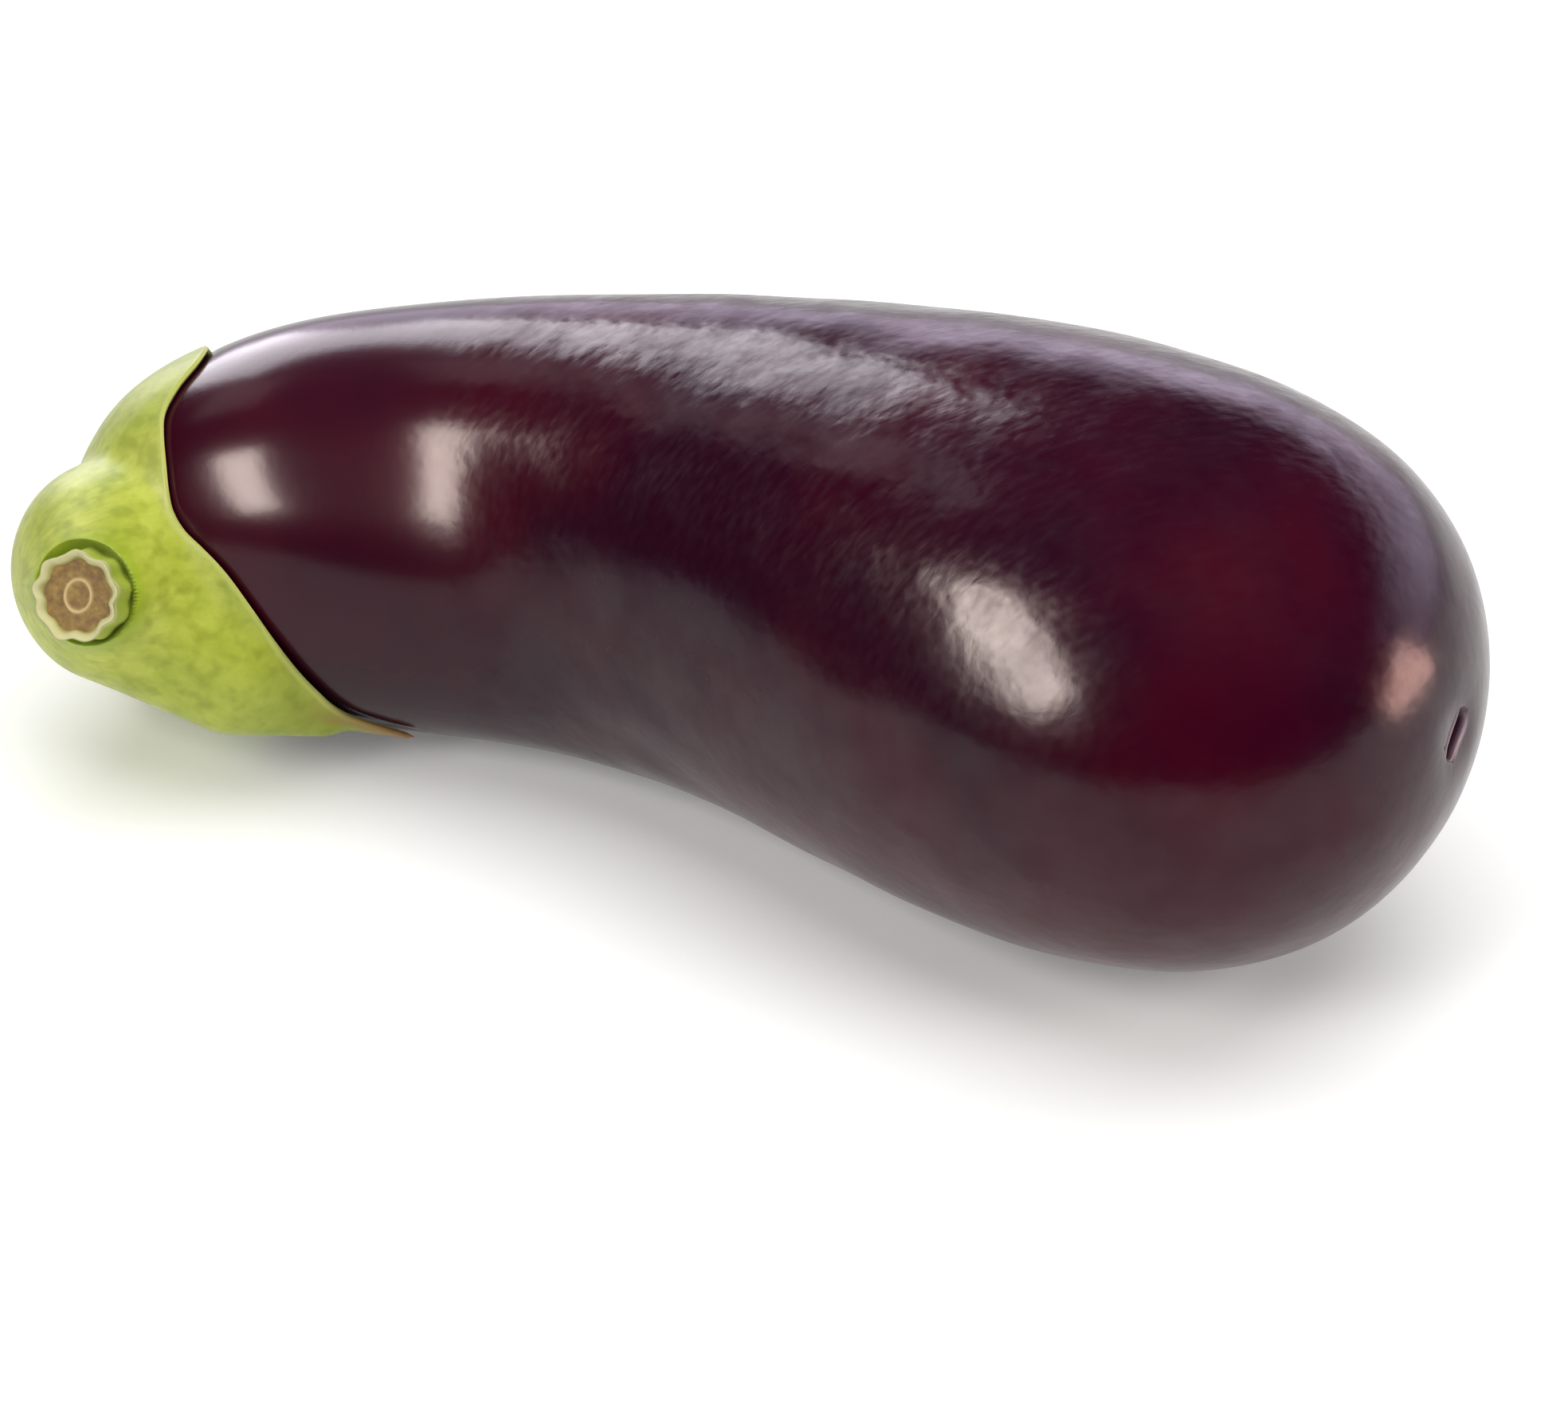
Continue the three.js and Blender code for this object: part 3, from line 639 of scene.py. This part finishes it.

# The foot's flesh stops in a sunken seat under the stem, and a band of painted shade marks the crease round
# its base.
SEAT_DEPTH, SEAT_RISE = 0.4, 3.4
SEAT_INNER, SEAT_OUTER = STEM_BASE_RADIUS - 0.9, STEM_BASE_RADIUS + 2.2
SEAT_FLESH = 8.0                            # only flesh less than this far below the seat belongs to it
CREASE_SHADE_RADIUS, CREASE_SHADE_WIDTH = STEM_BASE_RADIUS + 0.4, 1.1
from_seat = upper - SEAT_CENTRE
height = from_seat @ STEM_AIM
axis_distance = np.linalg.norm(from_seat - height[..., None] * STEM_AIM, axis=-1)
near_seat = height > -SEAT_FLESH
seat_top = SEAT_RISE * ramp(SEAT_INNER, SEAT_OUTER, axis_distance) - SEAT_DEPTH
excess = np.where(near_seat, np.maximum(height - seat_top, 0), 0)
upper = upper - STEM_AIM * excess[..., None]
# Painted shade: a band of darker green round the stem's base, where the crease lies in shade.
crease_shade = np.exp(-((axis_distance - CREASE_SHADE_RADIUS) / CREASE_SHADE_WIDTH) ** 2) * near_seat

upper = upper + cap_normal * (rib * RIB_HEIGHT)[..., None]
calyx_rows = np.concatenate([upper, lower[::-2]])
calyx_rows[..., 2] = np.maximum(calyx_rows[..., 2], 0)
apex_skin, apex_normal = skin_at(np.zeros(1), np.zeros(1))
apex_top = swell(apex_skin + apex_normal * (CLEARANCE + CAP_THICKNESS))[0]
calyx = closed_mesh("eggplant_calyx", apex_top, calyx_rows, (apex_skin + apex_normal * CLEARANCE)[0])


def on_both_faces(values):
    """The upper face has every ring and the lower face every second one, back from the edge."""
    return np.concatenate([values, values[::-2]])


# The dried tips, and the paler line along the edge, partly the edge's own colour and partly a painted
# highlight, by distance from the edge.
TIP_BREADTH, TIP_DRIED, TIP_GREEN = 7.0, 1.0, 7.0
EDGE_PALE, EDGE_GREEN = 0.1, 1.2
from_edge = edge_reach(around) - cap_reach
tip_amount = np.zeros_like(cap_reach)
for tip in LOBE_TIPS:
    near_tip = np.exp(-(turn_from(tip) / TIP_BREADTH) ** 2)
    tip_amount += near_tip * (1 - ramp(TIP_DRIED, TIP_GREEN, from_edge))
paint(calyx, "tip", on_both_faces(np.clip(tip_amount, 0, 1)))
paint(calyx, "crease_shade", on_both_faces(crease_shade))
paint(calyx, "edge_and_highlight", on_both_faces(1 - ramp(EDGE_PALE, EDGE_GREEN, from_edge)))
paint(calyx, "along", on_both_faces(cap_reach))
paint(calyx, "around_x", on_both_faces(np.cos(np.radians(around)) * np.ones_like(cap_reach)))
paint(calyx, "around_y", on_both_faces(np.sin(np.radians(around)) * np.ones_like(cap_reach)))

# Calyx flesh: thick green leaf under a fine down, so it is half matt and glows a little at its edges. It
# is streaked from the foot outwards, blotched, mottled with olive, and deeper green towards the lobes.
CALYX_PALE = linear("b3ba4a")
CALYX_GREEN = linear("929f2a")
CALYX_DEEP = linear("828f1c")
CALYX_OLIVE = linear("788418")
# Partly the edge's own paler colour, partly a painted highlight along the lit edge.
CALYX_EDGE_AND_HIGHLIGHT = linear("a9ad58")
CALYX_TIP = linear("8a6436")
# Painted shade: the darker green laid in the crease round the stem's base.
CALYX_CREASE_SHADE = linear("8aa014")
BLOTCH_SIZE, MOTTLE_SIZE = 7.692, 2.381
STREAK_COUNT, STREAK_LENGTH = 7.0, 4.762    # streaks to a radian round the foot, and how long each is
DEEP_START, DEEP_FULL, DEEP_SHARE = 16.0, 44.0, 0.85
LEAF_BUMP = 0.3
LEAF_ROUGHNESS, LEAF_IOR = 0.5, 1.42
LEAF_GLOW_DEPTH = 2.0                        # how far light spreads in the flesh

calyx_flesh, tree = new_material("fleshy_calyx_leaf")
place = add_node(tree, "ShaderNodeTexCoord")
blotches = add_node(tree, "ShaderNodeTexNoise", None,
                    {"Vector": place.outputs["Object"], "Scale": 1 / (BLOTCH_SIZE * MILLIMETRE),
                     "Detail": 4.0, "Roughness": 0.6})
along = add_node(tree, "ShaderNodeAttribute", {"attribute_name": "along"})
around_x = add_node(tree, "ShaderNodeAttribute", {"attribute_name": "around_x"})
around_y = add_node(tree, "ShaderNodeAttribute", {"attribute_name": "around_y"})
streak_run = add_node(tree, "ShaderNodeMath", {"operation": "DIVIDE"},
                      {0: along.outputs["Fac"], 1: STREAK_COUNT * STREAK_LENGTH})
streak_place = add_node(tree, "ShaderNodeCombineXYZ", None,
                        {"X": around_x.outputs["Fac"], "Y": around_y.outputs["Fac"],
                         "Z": streak_run.outputs[0]})
streaks = add_node(tree, "ShaderNodeTexNoise", None,
                   {"Vector": streak_place.outputs["Vector"], "Scale": STREAK_COUNT, "Detail": 4.0,
                    "Roughness": 0.6})
blotch_amount = add_node(tree, "ShaderNodeMapRange", {"clamp": True},
                         {"Value": blotches.outputs["Fac"], "From Min": 0.35, "From Max": 0.68})
streak_amount = add_node(tree, "ShaderNodeMapRange", {"clamp": True},
                         {"Value": streaks.outputs["Fac"], "From Min": 0.45, "From Max": 0.75,
                          "To Max": 0.55})
green = add_node(tree, "ShaderNodeMix", {"data_type": "RGBA"},
                 {0: blotch_amount.outputs["Result"], 6: CALYX_PALE, 7: CALYX_GREEN})
streaked = add_node(tree, "ShaderNodeMix", {"data_type": "RGBA"},
                    {0: streak_amount.outputs["Result"], 6: green.outputs[2], 7: CALYX_DEEP})
deep_amount = add_node(tree, "ShaderNodeMapRange", {"clamp": True, "interpolation_type": "SMOOTHSTEP"},
                       {"Value": along.outputs["Fac"], "From Min": DEEP_START, "From Max": DEEP_FULL,
                        "To Max": DEEP_SHARE})
deepened = add_node(tree, "ShaderNodeMix", {"data_type": "RGBA"},
                    {0: deep_amount.outputs["Result"], 6: streaked.outputs[2], 7: CALYX_DEEP})
mottle = add_node(tree, "ShaderNodeTexNoise", None,
                  {"Vector": place.outputs["Object"], "Scale": 1 / (MOTTLE_SIZE * MILLIMETRE), "Detail": 1.5,
                   "Roughness": 0.5})
mottle_amount = add_node(tree, "ShaderNodeMapRange", {"clamp": True},
                         {"Value": mottle.outputs["Fac"], "From Min": 0.46, "From Max": 0.7, "To Max": 0.55})
mottled = add_node(tree, "ShaderNodeMix", {"data_type": "RGBA"},
                   {0: mottle_amount.outputs["Result"], 6: deepened.outputs[2], 7: CALYX_OLIVE})
# Paler line along the edge: partly its own colour, partly a painted highlight.
edge_highlight_amount = add_node(tree, "ShaderNodeAttribute", {"attribute_name": "edge_and_highlight"})
edge_highlighted = add_node(tree, "ShaderNodeMix", {"data_type": "RGBA"},
                 {0: edge_highlight_amount.outputs["Fac"], 6: mottled.outputs[2], 7: CALYX_EDGE_AND_HIGHLIGHT})
# Painted shade in the crease round the stem's base.
crease_shade_amount = add_node(tree, "ShaderNodeAttribute", {"attribute_name": "crease_shade"})
crease_shaded = add_node(tree, "ShaderNodeMix", {"data_type": "RGBA"},
                   {0: crease_shade_amount.outputs["Fac"], 6: edge_highlighted.outputs[2], 7: CALYX_CREASE_SHADE})
dried_amount = add_node(tree, "ShaderNodeAttribute", {"attribute_name": "tip"})
tipped = add_node(tree, "ShaderNodeMix", {"data_type": "RGBA"},
                  {0: dried_amount.outputs["Fac"], 6: crease_shaded.outputs[2], 7: CALYX_TIP})
leaf_bump = add_node(tree, "ShaderNodeBump", None,
                     {"Strength": 0.4, "Distance": LEAF_BUMP * MILLIMETRE, "Height": streaks.outputs["Fac"]})
leaf_shader = add_node(tree, "ShaderNodeBsdfPrincipled", None,
                       {"Base Color": tipped.outputs[2], "Roughness": LEAF_ROUGHNESS, "IOR": LEAF_IOR,
                        "Subsurface Weight": 0.12, "Subsurface Radius": (0.7, 1.0, 0.3),
                        "Subsurface Scale": LEAF_GLOW_DEPTH * MILLIMETRE,
                        "Sheen Weight": 0.15, "Sheen Roughness": 0.4,
                        "Normal": leaf_bump.outputs["Normal"]})
add_node(tree, "ShaderNodeOutputMaterial", None, {"Surface": leaf_shader.outputs["BSDF"]})
calyx.data.materials.append(calyx_flesh)
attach(calyx, "root")
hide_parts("calyx")

# ---------------------------------------------------------------- the stem
# What is left of the stalk: a short ridged stump, cut square with a knife. The cut has dried to a pale
# curled rim round sunken brown pith, with an oval ring of vessels standing in the middle.

STEM_LENGTH = 5.0
STEM_SUNK = 0.6                             # how far the wall goes on below the seat
STEM_WAIST_RADIUS, STEM_RIM_RADIUS = 5.6, 5.8
STEM_RIDGES, RIDGE_HEIGHT = 9, 0.3
CUT_DROP = 0.35                             # how far the knife's cut lies below the highest of the rim
PITH_DEPTH, PITH_INSET = 0.9, 1.15
VESSEL_LONG, VESSEL_SHORT, VESSEL_HEIGHT, VESSEL_WIDTH = 2.15, 1.85, 0.3, 0.45
LUMP_HEIGHT = 0.09
WALL_ROWS, PITH_ROWS, STEM_SIDES = 16, 34, 216
# Over the rim from outside to inside: the rise, how far out from the rim's radius, and how pale it dried.
RIM_PROFILE = ((0.30, -0.06, 0.6), (0.38, 0.10, 0.8), (0.33, -0.16, 1.0), (0.22, -0.38, 1.0),
               (0.02, -0.62, 1.0), (-0.25, -0.82, 0.8), (-0.55, -0.98, 0.4))
STEM_SIDE = unit(np.cross(STEM_AIM, np.array([0.0, 0.0, 1.0])))
STEM_UP = np.cross(STEM_SIDE, STEM_AIM)

stem_angle = 2 * math.pi * np.arange(STEM_SIDES) / STEM_SIDES
cut_waves = np.random.default_rng(4)


def uneven_ring(depth, turns):
    """A wander round the stem, made of waves that go round it these numbers of times."""
    total = np.zeros(STEM_SIDES)
    for turn in turns:
        total += np.cos(turn * stem_angle + cut_waves.uniform(0, 2 * math.pi)) * cut_waves.uniform(0.4, 1)
    return depth * total / len(turns)


ridges = np.cos(STEM_RIDGES * stem_angle + 0.5 * np.sin(2 * stem_angle + 1.0))
wall_wander = uneven_ring(0.25, (2, 3, 4, 5))
rim_wander = uneven_ring(0.22, (3, 5, 7, 11, 13))
pith_wander = uneven_ring(0.3, (3, 4, 6, 9, 14))
top_wander = uneven_ring(0.3, (1, 2, 5, 8))


stem_top = CLEARANCE + STEM_LENGTH
cut_height = stem_top - CUT_DROP
stem_rows, rim_paint, pith_paint = [], [], []


def add_stem_row(height, radius, rim, pith):
    """One row round the stem at heights above its seat, with how much of it is dried rim and pith."""
    across = STEM_SIDE * (radius * np.cos(stem_angle))[:, None]
    upwards = STEM_UP * (radius * np.sin(stem_angle))[:, None]
    stem_rows.append(SEAT_CENTRE + STEM_AIM * height[:, None] + across + upwards)
    rim_paint.append(np.full(STEM_SIDES, rim))
    pith_paint.append(np.full(STEM_SIDES, pith))


for step in range(WALL_ROWS):
    part = step / (WALL_ROWS - 1)
    height = (stem_top - 0.1) * part - STEM_SUNK + top_wander * 0.5 * part
    radius = STEM_BASE_RADIUS + (STEM_WAIST_RADIUS - STEM_BASE_RADIUS) * math.sin(part * math.pi * 0.5)
    radius += (STEM_RIM_RADIUS - STEM_WAIST_RADIUS) * part ** 6
    dried = max(0.0, (part - 0.8) / 0.2)
    add_stem_row(height, radius + ridges * RIDGE_HEIGHT + wall_wander * 0.5, dried, 0.0)

rim_outer = STEM_RIM_RADIUS + ridges * RIDGE_HEIGHT * 0.8 + rim_wander
for rise, outwards, dried in RIM_PROFILE:
    add_stem_row(cut_height + rise + top_wander * 0.5, rim_outer + outwards + rim_wander * 0.6, dried,
                 1 - dried if outwards < -0.6 else 0.0)

# The pith sinks a little towards its middle, is lumpy, and has its ring of vessels standing on it.
pith_edge = STEM_RIM_RADIUS - PITH_INSET + ridges * 0.22 + pith_wander * 0.6
vessel_ring = 1 / np.hypot(np.cos(stem_angle) / VESSEL_SHORT, np.sin(stem_angle) / VESSEL_LONG)
for step in range(PITH_ROWS):
    part = 1 - step / PITH_ROWS
    radius = pith_edge * part
    vessel_rise = VESSEL_HEIGHT * np.exp(-((radius - vessel_ring) / (VESSEL_WIDTH * 0.5)) ** 2)
    lumps = LUMP_HEIGHT * np.sin(7 * stem_angle + 9 * part) * np.sin(5 * math.pi * part) * part
    add_stem_row(cut_height - PITH_DEPTH + 0.12 * part ** 3 + vessel_rise + lumps, radius, 0.0, 1.0)

stem_rows = np.array(stem_rows)
stem = closed_mesh("eggplant_stem", SEAT_CENTRE - STEM_AIM * STEM_SUNK, stem_rows,
                   SEAT_CENTRE + STEM_AIM * (cut_height - PITH_DEPTH))
paint(stem, "rim", np.array(rim_paint))
paint(stem, "pith", np.array(pith_paint))
from_seat = stem_rows - SEAT_CENTRE
vessel_far = np.hypot(from_seat @ STEM_SIDE / VESSEL_SHORT, from_seat @ STEM_UP / VESSEL_LONG)
paint(stem, "vessels", np.exp(-((vessel_far - 1) / 0.13) ** 2) * np.array(pith_paint))

# Cut stalk: green rind outside, a corky cream rim where it dried, and fibrous brown pith. It is dull all
# over, and rough with fibres a millimetre across. Real ones are finer, and would not show at this size.
STEM_RIND = linear("9aa83c")
STEM_RIM = linear("bcb886")
PITH_LIGHT = linear("8c6f2a")
PITH_DARK = linear("664714")
VESSEL_COLOUR = linear("c4ac78")
FIBRE_SIZE, FIBRE_BUMP = 1.1111, 0.3
DRY_ROUGHNESS = 0.75

cut_stalk, tree = new_material("dried_cut_stalk")
place = add_node(tree, "ShaderNodeTexCoord")
fibres = add_node(tree, "ShaderNodeTexNoise", None,
                  {"Vector": place.outputs["Object"], "Scale": 1 / (FIBRE_SIZE * MILLIMETRE), "Detail": 5.0,
                   "Roughness": 0.65})
fibre_amount = add_node(tree, "ShaderNodeMapRange", {"clamp": True},
                        {"Value": fibres.outputs["Fac"], "From Min": 0.35, "From Max": 0.65})
pith_colour = add_node(tree, "ShaderNodeMix", {"data_type": "RGBA"},
                       {0: fibre_amount.outputs["Result"], 6: PITH_DARK, 7: PITH_LIGHT})
pith_amount = add_node(tree, "ShaderNodeAttribute", {"attribute_name": "pith"})
rind = add_node(tree, "ShaderNodeMix", {"data_type": "RGBA"},
                {0: pith_amount.outputs["Fac"], 6: STEM_RIND, 7: pith_colour.outputs[2]})
dried_rim = add_node(tree, "ShaderNodeAttribute", {"attribute_name": "rim"})
rimmed = add_node(tree, "ShaderNodeMix", {"data_type": "RGBA"},
                  {0: dried_rim.outputs["Fac"], 6: rind.outputs[2], 7: STEM_RIM})
vessel_amount = add_node(tree, "ShaderNodeAttribute", {"attribute_name": "vessels"})
vesselled = add_node(tree, "ShaderNodeMix", {"data_type": "RGBA"},
                     {0: vessel_amount.outputs["Fac"], 6: rimmed.outputs[2], 7: VESSEL_COLOUR})
fibre_bump = add_node(tree, "ShaderNodeBump", None,
                      {"Strength": 0.6, "Distance": FIBRE_BUMP * MILLIMETRE, "Height": fibres.outputs["Fac"]})
stalk_shader = add_node(tree, "ShaderNodeBsdfPrincipled", None,
                        {"Base Color": vesselled.outputs[2], "Roughness": DRY_ROUGHNESS,
                         "Normal": fibre_bump.outputs["Normal"]})
add_node(tree, "ShaderNodeOutputMaterial", None, {"Surface": stalk_shader.outputs["BSDF"]})
stem.data.materials.append(cut_stalk)
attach(stem, "root")
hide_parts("stem")

# ---------------------------------------------------------------- the floor, the lights and the camera
# A sheet of white paper in a dim studio. Softboxes in front and behind at the left, two small cards and
# a backdrop are mirrored in the waxed skin, and three fills that it doesn't mirror light the matte parts.

# White paper: uncoated, so it is quite matte and shows no gloss. A faint glow of its own stands in for the
# light that the walls of the studio would throw on it.
FLOOR_EDGES = (-3.0, 3.0, -0.46, 3.0)       # metres; the sheet stops short in front and runs on behind
PAPER_GLOW = 0.15
left, right, front, rear = FLOOR_EDGES
floor_mesh = bpy.data.meshes.new("floor")
floor_mesh.from_pydata([(left, front, 0), (right, front, 0), (right, rear, 0), (left, rear, 0)], [],
                       [(0, 1, 2, 3)])
floor = bpy.data.objects.new("floor", floor_mesh)
scene.collection.objects.link(floor)
white_paper, tree = new_material("white_studio_paper")
paper_shader = add_node(tree, "ShaderNodeBsdfPrincipled", None,
                        {"Base Color": (0.9, 0.9, 0.9, 1.0), "Roughness": 1.0, "Specular IOR Level": 0.0,
                         "Emission Color": (1.0, 1.0, 1.0, 1.0), "Emission Strength": PAPER_GLOW})
add_node(tree, "ShaderNodeOutputMaterial", None, {"Surface": paper_shader.outputs["BSDF"]})
floor_mesh.materials.append(white_paper)

# The room seen in the skin: a dim ceiling that brightens overhead, and the lit backdrop behind.
CEILING_DIM, CEILING_BRIGHT, BACKDROP_BRIGHT = 0.02, 0.2, 3.0
BACKDROP_WAY = (0.1, 0.99, 0.0)
ROOM_COLOUR = (0.90, 0.78, 1.0, 1.0)
world = bpy.data.worlds.new("studio")
scene.world = world
world.cycles_visibility.diffuse = False
world.use_nodes = True
tree = world.node_tree
tree.nodes.clear()
sky = add_node(tree, "ShaderNodeTexCoord")
rise = add_node(tree, "ShaderNodeSeparateXYZ", None, {"Vector": sky.outputs["Generated"]})
ceiling = add_node(tree, "ShaderNodeMapRange", {"clamp": True, "interpolation_type": "SMOOTHSTEP"},
                   {"Value": rise.outputs["Z"], "From Min": 0.3, "From Max": 0.95, "To Min": CEILING_DIM,
                    "To Max": CEILING_BRIGHT})
behind = add_node(tree, "ShaderNodeVectorMath", {"operation": "DOT_PRODUCT"},
                  {0: sky.outputs["Generated"], 1: BACKDROP_WAY})
wall_reach = add_node(tree, "ShaderNodeMapRange", {"clamp": True, "interpolation_type": "SMOOTHSTEP"},
                      {"Value": behind.outputs["Value"], "From Min": 0.3, "From Max": 0.9,
                       "To Max": BACKDROP_BRIGHT})
wall_top = add_node(tree, "ShaderNodeMapRange", {"clamp": True, "interpolation_type": "SMOOTHSTEP"},
                    {"Value": rise.outputs["Z"], "From Min": 0.5, "From Max": 0.2})
backdrop = add_node(tree, "ShaderNodeMath", {"operation": "MULTIPLY"},
                    {0: wall_reach.outputs["Result"], 1: wall_top.outputs["Result"]})
room_light = add_node(tree, "ShaderNodeMath", {"operation": "ADD"},
                      {0: ceiling.outputs["Result"], 1: backdrop.outputs[0]})
room = add_node(tree, "ShaderNodeBackground", None,
                {"Color": ROOM_COLOUR, "Strength": room_light.outputs[0]})
add_node(tree, "ShaderNodeOutputWorld", None, {"Surface": room.outputs["Background"]})


MIDDLE = Vector((0.0, 0.0, 0.04))


def seen_from_middle(azimuth, elevation, distance):
    """A place given as it is seen from the middle of the eggplant."""
    azimuth, elevation = math.radians(azimuth), math.radians(elevation)
    return Vector((math.cos(azimuth) * math.cos(elevation), math.sin(azimuth) * math.cos(elevation),
                   math.sin(elevation))) * distance + MIDDLE


def softbox(name, place, target, size, radiance, colour, turn=0.0):
    """A rectangular light facing its target and turned in its own plane; lit white paper has radiance 1."""
    light = bpy.data.lights.new(name, "AREA")
    light.shape = "RECTANGLE"
    light.size, light.size_y = size
    light.energy = radiance * math.pi * size[0] * size[1]
    light.color = colour
    lamp = bpy.data.objects.new(name, light)
    lamp.location = place
    facing = (Vector(target) - Vector(place)).to_track_quat("-Z", "Y")
    lamp.rotation_euler = (facing @ Quaternion((0.0, 0.0, 1.0), math.radians(turn))).to_euler()
    scene.collection.objects.link(lamp)
    return lamp


# These four are mirrored in glossy surfaces and light nothing else. Places and sizes are in metres.
strip = softbox("front_strip", (-0.224, -0.366, 0.29), (0.0, -0.03, 0.06), (0.125, 0.32), 35.0,
                (1.0, 0.87, 0.79), 46.0)
window = softbox("window_softbox", seen_from_middle(140, 24, 1.1), MIDDLE, (0.48, 0.75), 10.5,
                 (0.96, 0.93, 1.0))
low_card = softbox("low_card", (0.40, 0.13, 0.02), (0.09, -0.01, 0.05), (0.12, 0.16), 15.0,
                   (1.0, 0.57, 0.48), 30.0)
high_card = softbox("high_card", seen_from_middle(172, 46, 1.0), MIDDLE, (0.28, 0.34), 1.5,
                    (1.0, 0.86, 0.88))
for lamp in (strip, window, low_card, high_card):
    lamp.visible_diffuse = False

# These three light the paper and the matte surfaces and are not seen in the skin.
FILL_SIZE, FILL_COLOUR = (0.3, 0.3), (1.0, 0.98, 0.95)
side_fill = softbox("side_fill", seen_from_middle(-8, 28, 0.8), MIDDLE, FILL_SIZE, 8.0, FILL_COLOUR)
front_fill = softbox("front_fill", seen_from_middle(-108, 38, 0.8), MIDDLE, FILL_SIZE, 10.5, FILL_COLOUR)
overhead = softbox("overhead_fill", seen_from_middle(75, 82, 1.25), MIDDLE, (1.7, 1.7), 2.6,
                   (1.0, 1.0, 1.0))
for lamp in (side_fill, front_fill, overhead):
    lamp.visible_glossy = False

# The camera stands in front of the hollow of the bend, a little towards the blossom end, and looks down.
# Distances are in metres, and the sensor and the focal length in millimetres.
CAMERA_TARGET = Vector((0.0131, -0.0228, 0.03735))
CAMERA_AZIMUTH, CAMERA_ELEVATION = math.radians(21.66), math.radians(36.0)
CAMERA_DISTANCE = 0.95
SENSOR_WIDTH, FOCAL_LENGTH = 36.0, 171.17
back = Vector((math.sin(CAMERA_AZIMUTH) * math.cos(CAMERA_ELEVATION),
               -math.cos(CAMERA_AZIMUTH) * math.cos(CAMERA_ELEVATION), math.sin(CAMERA_ELEVATION)))
camera_data = bpy.data.cameras.new("camera")
camera_data.sensor_width = SENSOR_WIDTH
camera_data.lens = FOCAL_LENGTH
camera = bpy.data.objects.new("camera", camera_data)
camera.location = CAMERA_TARGET + back * CAMERA_DISTANCE
camera.rotation_euler = back.to_track_quat("Z", "Y").to_euler()
scene.collection.objects.link(camera)
scene.camera = camera
scene.view_settings.view_transform = "Standard"
